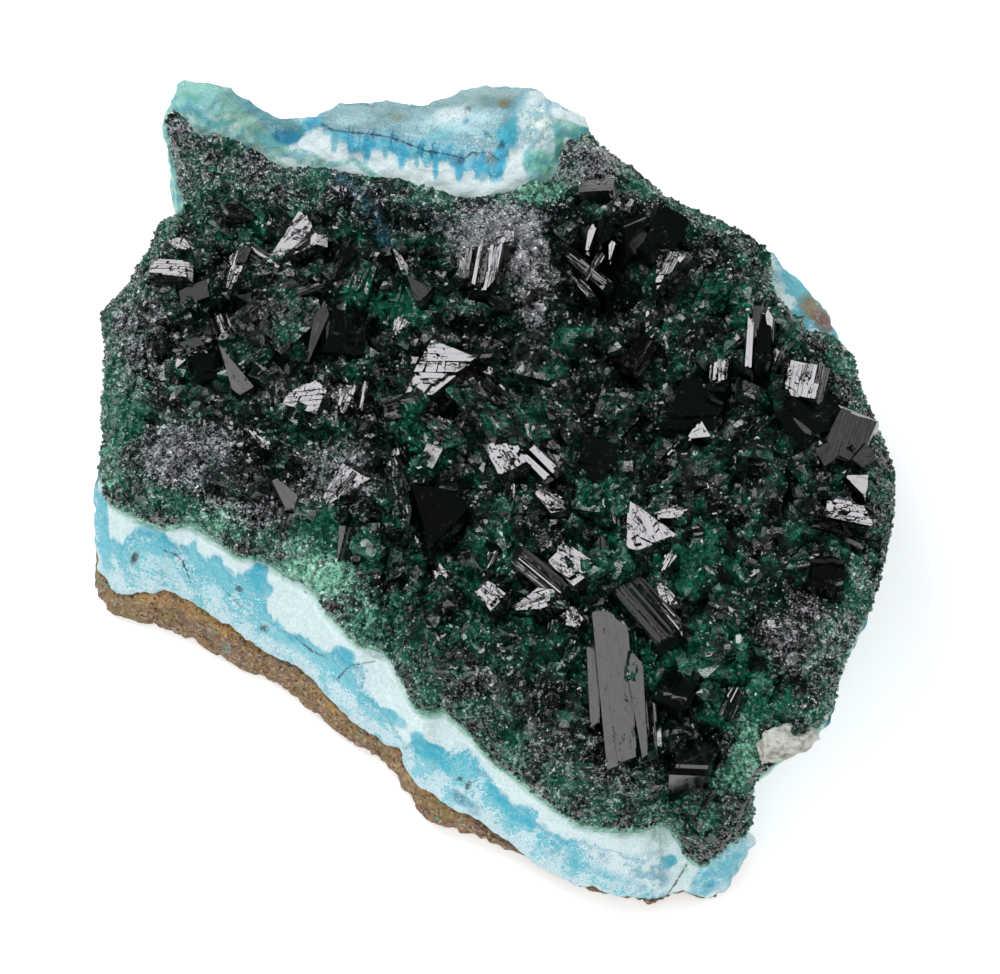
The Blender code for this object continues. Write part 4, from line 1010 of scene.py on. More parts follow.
def grow_crystals():
    """The listed crystals in one mesh, and the smaller ones strewn between them in another."""
    listed, strewn = Pile(), Pile()
    random = np.random.default_rng(CRYSTAL_SEED)
    feet = [on_crust(crystal.px, crystal.py) for crystal in CRYSTALS]
    for crystal, foot in zip(CRYSTALS, feet):
        axes = face_axes(crystal.lean, math.radians(crystal.turn))
        middle = foot + TOWARDS_VIEWER * crystal.proud
        grow_crystal(
            listed, middle, axes, crystal.length, crystal.width, crystal.shape,
            crystal.cut not in (PLANED, SPLIT), crystal.cut, random,
        )
    places = np.random.default_rng(SMALL_SEED)
    taken = [(foot.x, foot.y, crystal.length / 2) for crystal, foot in zip(CRYSTALS, feet)]
    low, high = RIM.min(0), RIM.max(0)
    for _ in range(SMALL_TRIES):
        spot = places.uniform(low, high)
        length = places.uniform(*SMALL_SIZE)
        width = length * places.uniform(0.5, 0.9)
        lean = places.uniform(-SMALL_LEAN, SMALL_LEAN, 2)
        turn = places.uniform(0, math.tau)
        proud = places.uniform(*SMALL_PROUD)
        here = spot[None, :]
        if not inside(here, RIM)[0] or edge_distance(here, RIM)[0] < SMALL_EDGE:
            continue
        if any(math.dist(spot, (x, y)) < 0.85 * (reach + length / 2) for x, y, reach in taken):
            continue
        middle = Vector((*spot, crust_heights([spot])[0] + proud))
        if zone(pixels(np.array([middle])), SHADED_HOLLOWS)[0] > 0.35:
            continue
        taken.append((*spot, length / 2))
        shape = [BRICK, RHOMB, WEDGE][places.integers(3)]
        cut = [CLEAN, LINED, CRAZED][random.integers(3)]
        grow_crystal(strewn, middle, face_axes(lean, turn), length, width, shape, False, cut, random)
    return listed.mesh(), strewn.mesh()


def grain_shapes():
    """Small crystal shapes that the druse is strewn with, each about one unit long."""
    outlines = [
        [(BRICK, 0.05, 1.0), (BRICK, -0.6, 1.15)],
        [(RHOMB, 0.1, 0.8), (RHOMB, -0.1, 1.1), (RHOMB, -0.6, 1.0)],
        [(WEDGE, 0.0, 1.0), (BRICK, -0.6, 0.9)],
        [(SHARD, 0.2, 0.6), (BLOCK, -0.1, 1.0), (BLOCK, -0.6, 1.0)],
    ]
    collection = bpy.data.collections.new("druse grains")
    for number, rings in enumerate(outlines):
        bm = bmesh.new()
        for shape, height, growth in rings:
            for along, across in shape:
                bm.verts.new((along * growth, across * growth * 0.75, height * 0.7))
        bmesh.ops.convex_hull(bm, input=bm.verts)
        bmesh.ops.recalc_face_normals(bm, faces=bm.faces)
        mesh = bpy.data.meshes.new(f"grain_{number}")
        bm.to_mesh(mesh)
        bm.free()
        collection.objects.link(bpy.data.objects.new(f"grain_{number}", mesh))
    return collection


def druse_tree(grains):
    """A geometry tree that strews grains over a ground and gives each its own tone."""
    tree, wiring, given, handed = node_group(
        "strew grains", "GeometryNodeTree",
        [("Ground", "Geometry"), ("Per square millimetre", "Float", 4.0), ("Smallest", "Float", 0.3),
         ("Largest", "Float", 0.6), ("Lean", "Float", 0.8), ("Seed", "Int"), ("Finish", "Material")],
        [("Grains", "Geometry")],
    )
    seed, lean = given["Seed"], given["Lean"]
    kind = "GeometryNodeInputNamedAttribute"
    room = wiring.add(kind, {"Name": "room"}, "Attribute", data_type="FLOAT")
    density = given["Per square millimetre"] * (1 / MM**2) * room
    strewing = {"Mesh": given["Ground"], "Density": density, "Seed": seed}
    strewn = wiring.add("GeometryNodeDistributePointsOnFaces", strewing, "Points")
    low = wiring.add("ShaderNodeCombineXYZ", {0: lean * -1.0, 1: lean * -1.0, 2: 0.0})
    high = wiring.add("ShaderNodeCombineXYZ", {0: lean, 1: lean, 2: math.tau})
    turns = {0: low, 1: high, "Seed": seed}
    turn = wiring.add("FunctionNodeRandomValue", turns, data_type="FLOAT_VECTOR")
    sizes = {2: given["Smallest"], 3: given["Largest"]}
    size = wiring.add("FunctionNodeRandomValue", sizes, 1, data_type="FLOAT")
    shapes = {"Collection": grains, "Separate Children": True, "Reset Children": True}
    placing = {
        "Points": strewn, "Instance": wiring.add("GeometryNodeCollectionInfo", shapes),
        "Pick Instance": True, "Rotation": wiring.add("FunctionNodeEulerToRotation", {0: turn}),
        "Scale": size * MM,
    }
    placed = wiring.add("GeometryNodeInstanceOnPoints", placing)
    tone = wiring.add("FunctionNodeRandomValue", {}, 1, data_type="FLOAT")
    toned = wiring.add(
        "GeometryNodeStoreNamedAttribute", {"Geometry": placed, "Name": "tone", "Value": tone},
        data_type="FLOAT", domain="INSTANCE",
    )
    real = wiring.add("GeometryNodeRealizeInstances", {0: toned})
    coat = {"Geometry": real, "Material": given["Finish"]}
    wiring.join(wiring.add("GeometryNodeSetMaterial", coat), handed["Grains"])
    return tree


def strew_grains(ground, tree, finish, per_mm2, smallest, largest, lean, seed):
    """The mesh of grains that the tree strews over the ground."""
    carrier = into_scene("grain carrier", ground)
    modifier = carrier.modifiers.new("grains", "NODES")
    modifier.node_group = tree
    wanted = {
        "Per square millimetre": per_mm2, "Smallest": smallest, "Largest": largest, "Lean": lean,
        "Seed": seed, "Finish": finish,
    }
    for item in tree.interface.items_tree:
        if item.item_type == "SOCKET" and item.in_out == "INPUT" and item.name in wanted:
            modifier[item.identifier] = wanted[item.name]
    depsgraph = bpy.context.evaluated_depsgraph_get()
    mesh = bpy.data.meshes.new_from_object(carrier.evaluated_get(depsgraph))
    carrier.modifiers.clear()
    bpy.data.objects.remove(carrier)
    return mesh


def corners_of(mesh):
    """A mesh's corners in millimetres."""
    places = np.empty(len(mesh.vertices) * 3, np.float32)
    mesh.vertices.foreach_get("co", places)
    return places.reshape(-1, 3) / MM


class Value:
    """A node's output, with which plain sums are written."""

    def __init__(self, wiring, socket):
        self.wiring, self.socket = wiring, socket

    def __add__(self, other):
        return self.wiring.math("ADD", self, other)

    def __sub__(self, other):
        return self.wiring.math("SUBTRACT", self, other)

    def __rsub__(self, other):
        return self.wiring.math("SUBTRACT", other, self)

    def __mul__(self, other):
        return self.wiring.math("MULTIPLY", self, other)

    def __rtruediv__(self, other):
        return self.wiring.math("DIVIDE", other, self)


class Wiring:
    """A node tree being wired: each method adds a node and gives its output."""

    def __init__(self, tree):
        self.tree = tree

    def add(self, kind, inputs, output=0, **settings):
        """Adds a node; its inputs are linked or set. Without an output, gives all of them."""
        made = self.tree.nodes.new(kind)
        for setting, value in settings.items():
            setattr(made, setting, value)
        for socket, value in inputs.items():
            self.join(value, made.inputs[socket])
        if output is None:
            return {socket.name: Value(self, socket) for socket in made.outputs}
        return Value(self, made.outputs[output])

    def join(self, value, socket):
        """Links a value to a socket, or sets the socket to a plain value."""
        if isinstance(value, Value):
            self.tree.links.new(value.socket, socket)
        elif isinstance(value, tuple) and socket.type == "RGBA" and len(value) == 3:
            socket.default_value = (*value, 1.0)
        else:
            socket.default_value = value

    def math(self, operation, a, b=0.0):
        """A sum on numbers."""
        return self.add("ShaderNodeMath", {0: a, 1: b}, operation=operation)

    def vector(self, operation, a, b):
        """A sum on vectors."""
        second = "Scale" if operation == "SCALE" else 1
        return self.add("ShaderNodeVectorMath", {0: a, second: b}, operation=operation)

    def cloud(self, vector, size, detail=3.0, rough=0.55, output="Fac"):
        """Soft noise with features about the size, in millimetres."""
        inputs = {"Vector": vector, "Scale": 1 / size, "Detail": detail, "Roughness": rough}
        return self.add("ShaderNodeTexNoise", inputs, output)

    def step(self, value, low, high, start=0.0, end=1.0):
        """Runs smoothly from start to end while the value goes from low to high."""
        inputs = {"Value": value, "From Min": low, "From Max": high, "To Min": start, "To Max": end}
        return self.add("ShaderNodeMapRange", inputs, interpolation_type="SMOOTHSTEP")

    def blend(self, share, a, b):
        """One colour over another."""
        return self.add("ShaderNodeMix", {0: share, 6: a, 7: b}, 2, data_type="RGBA")


class Finish(Wiring):
    """A material and its shader."""

    def __init__(self, name, **sockets):
        self.material = bpy.data.materials.new(name)
        self.material.use_nodes = True
        super().__init__(self.material.node_tree)
        self.shader = self.tree.nodes["Principled BSDF"]
        for socket, value in sockets.items():
            self.paint(socket.replace("_", " "), value)

    def paint(self, socket, value):
        """Feeds one of the shader's sockets."""
        self.join(value, self.shader.inputs[socket])

    def bump(self, height, strength, distance, **inputs):
        """Gives the surface its relief."""
        relief = {"Height": height, "Strength": strength, "Distance": distance, **inputs}
        self.paint("Normal", self.add("ShaderNodeBump", relief))

    def mark(self, name, output="Fac"):
        """A value stored on the mesh."""
        return self.add("ShaderNodeAttribute", {}, output, attribute_name=name)

    def place(self):
        """The place on the piece, in millimetres."""
        return self.vector("MULTIPLY", self.add("ShaderNodeTexCoord", {}, "Object"), (1 / MM,) * 3)

    def group(self, tree, inputs):
        """A shared effect with its own values, as its outputs by name."""
        return self.add("ShaderNodeGroup", inputs, None, node_tree=tree)


def node_group(name, kind, inputs, outputs):
    """An empty group: the tree, its wiring, its inputs by name, and its output node's sockets."""
    tree = bpy.data.node_groups.new(name, kind)
    for way, sockets in (("INPUT", inputs), ("OUTPUT", outputs)):
        for socket, value_kind, *default in sockets:
            made = tree.interface.new_socket(socket, in_out=way, socket_type=f"NodeSocket{value_kind}")
            if default:
                made.default_value = default[0]
    wiring = Wiring(tree)
    given = wiring.add("NodeGroupInput", {}, None)
    return tree, wiring, given, tree.nodes.new("NodeGroupOutput").inputs


def streaked_domains():
    """Domains of intergrown crystal, each tilted and finely striated its own way."""
    tree, wiring, given, handed = node_group(
        "streaked domains", "ShaderNodeTree",
        [("Place", "Vector"), ("Domain", "Float", 1.6), ("Streak", "Float", 0.12),
         ("Tilt", "Float", 0.4), ("Depth", "Float", 0.00002)],
        [("Normal", "Vector"), ("Streaks", "Float")],
    )
    wander = wiring.cloud(given["Place"], 1.1, 3.0, 0.6, "Color")
    irregular = wiring.vector("ADD", given["Place"], wiring.vector("MULTIPLY", wander, (0.9, 0.9, 0.9)))
    cells = {"Vector": irregular, "Scale": 1.0 / given["Domain"]}
    domain = wiring.add("ShaderNodeTexVoronoi", cells, "Color")
    turn = {"Vector": given["Place"], "Rotation": wiring.vector("MULTIPLY", domain, (math.tau,) * 3)}
    turned = wiring.add("ShaderNodeVectorRotate", turn, rotation_type="EULER_XYZ")
    narrow = wiring.vector("MULTIPLY", turned, (1.0, 0.16, 0.16))
    streaks = wiring.cloud(wiring.vector("SCALE", narrow, 1.0 / given["Streak"]), 1.0, 2.0, 0.6)
    tilted = wiring.vector("SCALE", wiring.vector("SUBTRACT", domain, (0.5, 0.5, 0.5)), given["Tilt"])
    normal = wiring.vector("ADD", wiring.add("ShaderNodeNewGeometry", {}, "Normal"), tilted)
    even = wiring.add("ShaderNodeVectorMath", {0: normal}, operation="NORMALIZE")
    bump = {"Height": streaks, "Strength": 1.0, "Distance": given["Depth"], "Normal": even}
    wiring.join(wiring.add("ShaderNodeBump", bump), handed["Normal"])
    wiring.join(streaks, handed["Streaks"])
    return tree


def green_depths():
    """The crust's colour: near-black green, emerald where it is thin, frosted or mint in places, and
    darker as painted shade in the hollows.
    """
    tree, wiring, given, handed = node_group(
        "green depths", "ShaderNodeTree",
        [("Place", "Vector"), ("Tone", "Float", 0.5), ("Emerald", "Float"), ("Frost", "Float"),
         ("Pale", "Float"), ("Blue", "Float")],
        [("Colour", "Color")],
    )
    broad = wiring.cloud(given["Place"], 2.2, 4.0)
    fine = wiring.cloud(given["Place"], 0.45, 4.0, 0.75)
    # A negative Emerald, given in the hollows, lowers the depth and darkens the colour as painted
    # shade.
    depth = given["Emerald"] * 0.3 + broad
    depth = (fine - 0.5) * 0.7 + depth
    depth = given["Tone"] * 0.12 + depth
    glow = wiring.step(depth, 0.55, 0.88)
    dark = wiring.blend(wiring.step(broad, 0.35, 0.65), NEAR_BLACK, BLACK_GREEN)
    bright = wiring.blend(wiring.step(fine, 0.45, 0.7), BOTTLE_GREEN, EMERALD)
    colour = wiring.blend(glow, dark, bright)
    finest = wiring.cloud(given["Place"], 0.16, 3.0, 0.7)
    speck = given["Frost"] * 0.39 + (finest * 0.6 + fine)
    frosted = wiring.step(speck, 1.03, 1.15)
    rime = wiring.blend(wiring.step(finest, 0.44, 0.58), DULL_RIME, BRIGHT_RIME)
    colour = wiring.blend(frosted * 0.85, colour, rime)
    light = given["Pale"] * 0.5 + (finest * 0.7 + fine)
    pale = wiring.step(light, 0.98, 1.34)
    clear = wiring.blend(wiring.step(fine, 0.35, 0.65), srgb(46, 116, 92), srgb(132, 194, 168))
    clear = wiring.blend(wiring.step(finest, 0.60, 0.72), clear, srgb(206, 226, 218))
    colour = wiring.blend(pale, colour, clear)
    blued = given["Blue"] * wiring.step(fine, 0.42, 0.56)
    colour = wiring.blend(blued, colour, GLASSY_BLUE)
    wiring.join(colour, handed["Colour"])
    return tree


GREEN_DEPTHS = green_depths()
STREAKED_DOMAINS = streaked_domains()


def crust_green(made, place, tone):
    """The crust's colour at a place, from a tone and the marks on the mesh."""
    marks = {name: made.mark(name.lower()) for name in ("Emerald", "Frost", "Pale", "Blue")}
    return made.group(GREEN_DEPTHS, {"Place": place, "Tone": tone, **marks})["Colour"]


def finish_ground():
    """The ground between crystals: an intergrown mass, dark green, streaked and sparkling."""
    made = Finish("dark green mass", IOR=1.86, Specular_Tint=SHEEN)
    place = made.place()
    domains = {"Place": place, "Domain": 0.9, "Streak": 0.08, "Tilt": 0.7, "Depth": 0.00003}
    domains = made.group(STREAKED_DOMAINS, domains)
    tone = made.step(domains["Streaks"], 0.35, 0.65)
    made.paint("Base Color", crust_green(made, place, tone))
    made.paint("Normal", domains["Normal"])
    made.paint("Roughness", made.step(made.cloud(place, 0.5), 0.35, 0.7, 0.08, 0.28))
    return made.material


def finish_crystal():
    """Glassy, nearly black crystal faces, striated along their length and etched in places."""
    made = Finish("black green crystal", IOR=1.86, Specular_Tint=SHEEN)
    facet = made.mark("facet", "Vector")
    etched = made.mark("etched")
    broad = made.cloud(made.vector("MULTIPLY", facet, (0.7, 2.0, 1.2)), 0.9, 5.0, 0.75)
    ragged = (made.cloud(facet, 0.14, 3.0, 0.7) - 0.5) * 0.5 + broad
    worn = made.step(etched * 0.3 + ragged, 0.67, 0.72)
    green = crust_green(made, made.place(), worn * 0.9)
    black = made.blend(made.mark("tone"), (0.0002, 0.0002, 0.0003), (0.0005, 0.0018, 0.0015))
    made.paint("Base Color", made.blend(made.math("MAXIMUM", worn, 0.06), black, green))
    lines = made.cloud(made.vector("MULTIPLY", facet, (0.25, 6.0, 6.0)), 1.0, 3.0, 0.65)
    slow = made.cloud(made.vector("MULTIPLY", facet, (0.5, 1.4, 1.4)), 1.0, 2.0, 0.5)
    height = worn * -2.0 + (slow * 1.6 + lines * (1.0 - worn * 0.85))
    domains = {
        "Place": facet, "Domain": 0.45, "Streak": 0.09, "Tilt": worn * 1.2, "Depth": worn * 0.00003,
    }
    broken = made.group(STREAKED_DOMAINS, domains)["Normal"]
    made.bump(height, 0.8, 0.000014, Normal=broken)
    smooth = made.step(made.cloud(facet, 0.8), 0.35, 0.75, 0.04, 0.14)
    made.paint("Roughness", worn * 0.1 + smooth)
    return made.material


def finish_grain():
    """Small glassy grains, from black green to clear mint."""
    made = Finish("druse grain", IOR=1.86, Specular_Tint=SHEEN)
    place = made.place()
    made.paint("Base Color", crust_green(made, place, made.mark("tone")))
    domains = {"Place": place, "Domain": 0.5, "Streak": 0.10, "Tilt": 0.35, "Depth": 0.000025}
    made.paint("Normal", made.group(STREAKED_DOMAINS, domains)["Normal"])
    made.paint("Roughness", made.step(made.cloud(place, 0.4), 0.35, 0.7, 0.06, 0.22))
    return made.material


def finish_band():
    """Chrysocolla: mint at the crust, then white, then mottled blues, with cracks and stains."""
    made = Finish("blue and white chrysocolla", IOR=1.5)
    place = made.place()
    layer, white, foot, bank, crack, side = (
        made.mark(name) for name in ("layer", "white", "foot", "bank", "crack", "side")
    )
    tint, laid = made.mark("tint", "Color"), made.mark("tint", "Alpha")
    broad = made.cloud(place, 1.7, 4.0)
    middle = made.cloud(place, 0.7, 5.0, 0.7)
    fine = made.cloud(place, 0.2, 4.0, 0.75)
    fingers = made.cloud(made.mark("spot", "Vector"), 0.5, 4.0, 0.65)
    uneven = middle - 0.5
    ragged = (fine - 0.5) * 0.9 + uneven

    blue = made.blend(made.step(broad, 0.38, 0.62), SKY_BLUE, CLEAR_BLUE)
    blue = made.blend(made.step(fine, 0.56, 0.7, 0.0, 0.6), blue, DEEP_BLUE)
    lower = made.step(foot, 1.5, 5.0, 0.22, 0.03)
    mottle = uneven * 0.7 + (fine - 0.5 + broad + lower)
    milky = made.blend(fine, srgb(176, 216, 226), srgb(232, 242, 244))
    blue = made.blend(made.step(mottle, 0.56, 0.68, 0.0, 0.95), blue, milky)
    near = made.step(ragged * 2.0 + foot, 0.15, 0.7, 0.85, 0.0)
    blue = made.blend(near, blue, made.blend(made.step(middle, 0.4, 0.6), CLEAR_BLUE, DEEP_BLUE))
    earthy = made.step(ragged * 1.4 + foot, 0.0, 0.22, 0.9, 0.0)
    blue = made.blend(earthy, blue, srgb(128, 106, 78))

    edge = ragged + ((fingers - 0.5) * (3.4 - bank * 2.0) + white)
    fresh = made.step(edge, -2.2, -0.3)
    dots = made.step(uneven * 0.5 + fine, 0.5, 0.62)
    upper = made.blend(made.step(middle, 0.4, 0.6), srgb(140, 182, 192), srgb(190, 218, 224))
    upper = made.blend(dots * 0.8, upper, srgb(82, 170, 196))
    stained = made.step(made.cloud(place, 0.42, 4.0, 0.7), 0.60, 0.68, 0.0, 0.45)
    upper = made.blend(stained, upper, srgb(132, 144, 142))
    vivid = made.blend(made.step(fingers, 0.4, 0.6), srgb(132, 208, 228), srgb(48, 168, 208))
    blue = made.blend(bank, blue, made.blend(fresh, upper, vivid))

    stroke = ragged * 1.9 + laid
    haze = made.step(mottle, 0.58, 0.78, 0.0, 0.55) * made.step(bank, 0.0, 1.0, 1.0, 0.3)
    dab = made.blend(haze, tint, milky)
    blue = made.blend(made.step(stroke, 0.30, 0.75), blue, dab)
    grit = made.cloud(place, 0.13, 3.0, 0.7)
    coarser = middle * 0.45 + grit
    blue = made.blend(made.step(coarser, 0.76, 0.90, 0.0, 0.6), blue, srgb(52, 150, 172))
    dust = made.step(coarser, 0.66, 0.54, 0.0, 0.75) * made.step(bank, 0.0, 1.0, 1.0, 0.4)
    dust = dust * made.step(laid, 0.2, 1.0, 1.0, 0.45)
    blue = made.blend(dust, blue, srgb(214, 234, 238))

    below = made.step(edge, -1.3, -0.4) * made.step(middle, 0.4, 0.56)
    blue = made.blend(below * 0.55, blue, srgb(48, 156, 184))
    greyer = made.step(fine, 0.4, 0.62) * made.step(bank, 0.0, 1.0, 1.0, 0.3)
    pale = made.blend(greyer, WHITE, srgb(196, 224, 228))
    whiter = made.step(edge, bank * 0.05 - 0.40, 0.34 - bank * 0.05)
    bare = made.step(laid, 0.5, 0.95, 1.0, 0.0)
    covered = whiter * bare
    colour = made.blend(covered, blue, pale)

    rim = ragged * 0.9 + layer
    mint = made.blend(made.step(fine, 0.4, 0.65), MINT, SEA_GREEN)
    colour = made.blend(made.step(rim, 0.0, 0.34, 0.9, 0.0) * bare, colour, mint)
    beside = made.math("MAXIMUM", made.math("ABSOLUTE", side), crack - 0.28)
    line = made.step(ragged * 0.4 + beside, -0.02, 0.06, 0.85, 0.0)
    hanging = (fingers - 0.6) * -6.0 + crack
    hanging = made.step(hanging, 0.1, 0.7, 0.7, 0.0) * bank
    colour = made.blend(hanging, colour, srgb(28, 112, 146))
    colour = made.blend(line, colour, srgb(58, 78, 84))
    specks = made.step(made.cloud(place, 0.28, 3.0, 0.6), 0.66, 0.72)
    specks = specks * made.step(covered, 0.2, 0.8, 0.75, 0.08)
    colour = made.blend(specks, colour, srgb(52, 112, 128))
    made.paint("Base Color", colour)
    made.paint("Roughness", made.step(middle, 0.3, 0.7, 0.42, 0.72))
    made.bump(line * -0.5 + (fine * 0.7 + middle), 0.9, 0.00023)
    return made.material


def finish_skin():
    """Limonite: earthy brown, ochre and olive grains, with a few blue specks; more golden ochre higher
    up, partly painted light on its upper part.
    """
    made = Finish("earthy brown limonite", IOR=1.5)
    place = made.place()
    broad = made.cloud(place, 1.6, 5.0, 0.65)
    middle = made.cloud(place, 0.4, 5.0, 0.75)
    grains = made.add("ShaderNodeTexVoronoi", {"Vector": place, "Scale": 6.0}, "Color")
    grain, other = (made.add("ShaderNodeSeparateColor", {0: grains}, channel) for channel in (0, 1))
    colour = made.blend(made.step(broad, 0.4, 0.6), srgb(150, 122, 106), srgb(152, 124, 84))
    # Golden ochre is the skin's own colour; its increase with height paints the light on the upper
    # part.
    high = made.step(made.add("ShaderNodeSeparateXYZ", {0: place}, 2), 2.2, 4.2, 0.0, 0.16)
    golden_and_painted_top_light = made.step(middle + high, 0.54, 0.68)
    colour = made.blend(golden_and_painted_top_light, colour, srgb(200, 152, 90))
    colour = made.blend(made.step(grain, 0.66, 0.95, 0.0, 0.8), colour, srgb(74, 54, 42))
    colour = made.blend(made.step(other, 0.66, 0.95, 0.0, 0.8), colour, srgb(196, 180, 152))
    colour = made.blend(made.step(middle, 0.34, 0.44, 0.9, 0.0), colour, srgb(78, 56, 44))
    olive = made.step(made.cloud(place, 2.6), 0.54, 0.66, 0.0, 0.35)
    colour = made.blend(olive, colour, srgb(138, 138, 80))
    specks = made.step(made.cloud(place, 0.9, 3.0), 0.64, 0.70, 0.0, 0.7)
    colour = made.blend(specks, colour, srgb(104, 172, 162))
    made.paint("Base Color", colour)
    made.paint("Roughness", made.step(middle, 0.3, 0.7, 0.75, 0.95))
    made.bump(grain * 0.6 + middle, 1.0, 0.0004)
    return made.material


def finish_chip():
    """Quartz: pale beige grey with darker streaks and a waxy gloss."""
    made = Finish("pale quartz", IOR=1.54, Subsurface_Weight=0.25, Subsurface_Scale=0.0008)
    place = made.place()
    streaks = made.cloud(made.vector("MULTIPLY", place, (0.8, 1.6, 2.6)), 0.6, 4.0, 0.6)
    fine = made.cloud(place, 0.2, 3.0)
    colour = made.blend(made.step(streaks, 0.4, 0.64), srgb(186, 188, 182), srgb(134, 138, 126))
    colour = made.blend(made.step(fine, 0.62, 0.8, 0.0, 0.5), colour, srgb(232, 230, 222))
    made.paint("Base Color", colour)
    made.paint("Roughness", made.step(streaks, 0.3, 0.7, 0.3, 0.5))
    made.bump(streaks, 0.5, 0.0001)
    return made.material


def finely_broken(node, seen_part):
    """A node's solid with its seen faces split finely, rounded a little and roughened."""
    longest, rounds, rough = BROKEN[node]
    bm = solid(node)
    for _ in range(rounds):
        middles = np.array([(e.verts[0].co + e.verts[1].co) / 2 for e in bm.edges])
        slopes = np.array([sum(f.normal.z for f in e.link_faces) / 2 for e in bm.edges])
        lengths = np.array([e.calc_length() for e in bm.edges])
        chosen = np.nonzero((lengths > longest) & seen_part(middles, slopes))[0]
        bm.edges.ensure_lookup_table()
        edges = [bm.edges[i] for i in chosen]
        if not edges:
            break
        bmesh.ops.subdivide_edges(bm, edges=edges, cuts=1)
        bmesh.ops.triangulate(bm, faces=[face for face in bm.faces if len(face.verts) > 3])
        bm.normal_update()
    bm.verts.index_update()
    places = np.array([vertex.co for vertex in bm.verts])
    slopes = np.array([vertex.normal.z for vertex in bm.verts])
    pairs = np.array([[vertex.index for vertex in edge.verts] for edge in bm.edges])
    loose = seen_part(places, slopes)
    for _ in range(3):
        total = np.zeros_like(places)
        count = np.zeros(len(places))
        for a, b in ((0, 1), (1, 0)):
            np.add.at(total, pairs[:, a], places[pairs[:, b]])
            np.add.at(count, pairs[:, a], 1)
        even = total / count[:, None]
        places[loose] += 0.5 * (even - places)[loose]
    for vertex, place in zip(bm.verts, places):
        vertex.co = place
    bm.normal_update()
    normals = np.array([vertex.normal for vertex in bm.verts])
    shift = sum(depth * cloud(places, size, 3.0 + size) for size, depth in rough)
    shift = np.minimum(shift, FARTHEST_OUT) * loose
    places = places + normals * shift[:, None]
    low, high = (np.array(corner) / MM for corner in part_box(node))
    places = np.clip(places, low, high)
    faces = [tuple(vertex.index for vertex in face.verts) for face in bm.faces]
    bm.free()
    return places, faces


def contact_line():
    """Points close together along the line where the crust meets its bed."""
    line = closed_curve(RIM, RIM_SPACING)
    heights = [bed_height(x, y) for x, y in line * JUST_INSIDE]
    return np.column_stack([line, heights])


def lay_colour(tint, colour, share):
    """Lays a colour over the tint gathered so far, by a share for each place."""
    before = tint[:, 3] * (1 - share)
    total = np.maximum(before + share, 1e-6)
    mixed = tint[:, :3] * before[:, None] + np.array(colour) * share[:, None]
    tint[:, :3] = mixed / total[:, None]
    tint[:, 3] = before + share


def side_distance(points, line):
    """Distance to an open line, plain and with a sign for the side of the line."""
    nearest = np.full(len(points), np.inf)
    signed = np.full(len(points), np.inf)
    for a, b in zip(line, line[1:]):
        step = b - a
        share = np.clip((points - a) @ step / max(step @ step, 1e-9), 0, 1)
        away = points - (a + share[:, None] * step)
        length = np.hypot(away[:, 0], away[:, 1])
        across = (step[0] * (points[:, 1] - a[1]) - step[1] * (points[:, 0] - a[0])) / np.hypot(*step)
        signed = np.where(length < nearest, across, signed)
        nearest = np.minimum(nearest, length)
    return nearest, signed


def facing_viewer(mesh):
    """From 0 for a corner that is turned away from the photograph's viewer to 1."""
    normals = np.zeros(len(mesh.vertices) * 3, dtype=np.float32)
    mesh.vertices.foreach_get("normal", normals)
    return smooth_step(normals.reshape(-1, 3) @ np.array(TOWARDS_VIEWER), -0.3, 0.05)


def band_marks(places, faced):
    """What the band's finish reads: layers, white, strokes and cracks."""
    line = contact_line()
    tree = tree_of(line)
    found = [tree.find(place) for place in places]
    layer = np.array([item[2] for item in found])
    spots = line[[item[1] for item in found]]
    seen = pixels(places)
    across = pixels(spots)[:, 0]
    outside = ~inside(places[:, :2], RIM)
    bank = smooth_step(places[:, 1], *BANK_BEGINS) * outside * (across < BANK_RIGHT_PIXEL) * faced
    front = FRONT_WHITE_SCALE * np.interp(across, *np.array(FRONT_WHITE, float).T)
    behind = np.interp(across, *np.array(BANK_WHITE, float).T)
    behind = BANK_WHITE_SCALE * (BANK_WHITE_MORE + behind)
    elsewhere = 1.5 + 0.7 * cloud(spots, 3.0, 5.0)
    hidden = smooth_step(spots[:, 0], 15.0, 20.0)
    reach = np.where(places[:, 1] < 0, front * (1 - hidden) + elsewhere * hidden, elsewhere)
    reach = reach * (1 - bank) + behind * bank
    foot = [SKIN_SURFACE.find_nearest(Vector(place))[3] for place in places]
    tint = np.zeros((len(places), 4))
    for stroke in BAND_STROKES:
        turn = math.radians(stroke.turn)
        x, y = seen[:, 0] - stroke.px, stroke.py - seen[:, 1]
        along = np.abs(x * math.cos(turn) + y * math.sin(turn)) / stroke.long
        aside = np.abs(-x * math.sin(turn) + y * math.cos(turn)) / stroke.wide
        reach_of = (along**3 + aside**3) ** (1 / 3)
        share = smooth_step(-reach_of, -1.5, -0.6) * faced
        lay_colour(tint, stroke.colour, share * stroke.strength)
    for seam in BAND_SEAMS:
        aside = edge_distance(seen, np.array(seam.run, float), False) / seam.wide
        lay_colour(tint, seam.colour, smooth_step(-aside, -1.4, -0.4) * faced * seam.strength)
    crack = np.full(len(places), FAR_AWAY)
    side = np.full(len(places), FAR_AWAY)
    for run in BAND_CRACKS:
        away, beside = side_distance(seen, np.array(run, float))
        away = np.where(faced > 0.5, away, FAR_AWAY)
        side = np.where(away < crack, beside, side)
        crack = np.minimum(crack, away)
    return {
        "layer": layer - 0.8 * bank, "white": reach - layer, "foot": foot, "bank": bank, "tint": tint,
        "spot": spots, "crack": crack * MM_PER_PIXEL, "side": side * MM_PER_PIXEL,
    }


def seen_band(places, slopes):
    """Which places of the band's solid can be seen outside the crust and the brown skin."""
    plan = places[:, :2]
    covered = inside(plan, RIM) & (edge_distance(plan, RIM) > 0.8)
    return (slopes > -0.93) & ~(covered & (slopes > 0.5))


def seen_skin(places, slopes):
    """Which places of the brown skin's solid can be seen: its wall and its lifted edge."""
    return np.abs(slopes) < 0.93


def seen_chip(places, slopes):
    """The chip is seen all round."""
    return np.full(len(places), True)


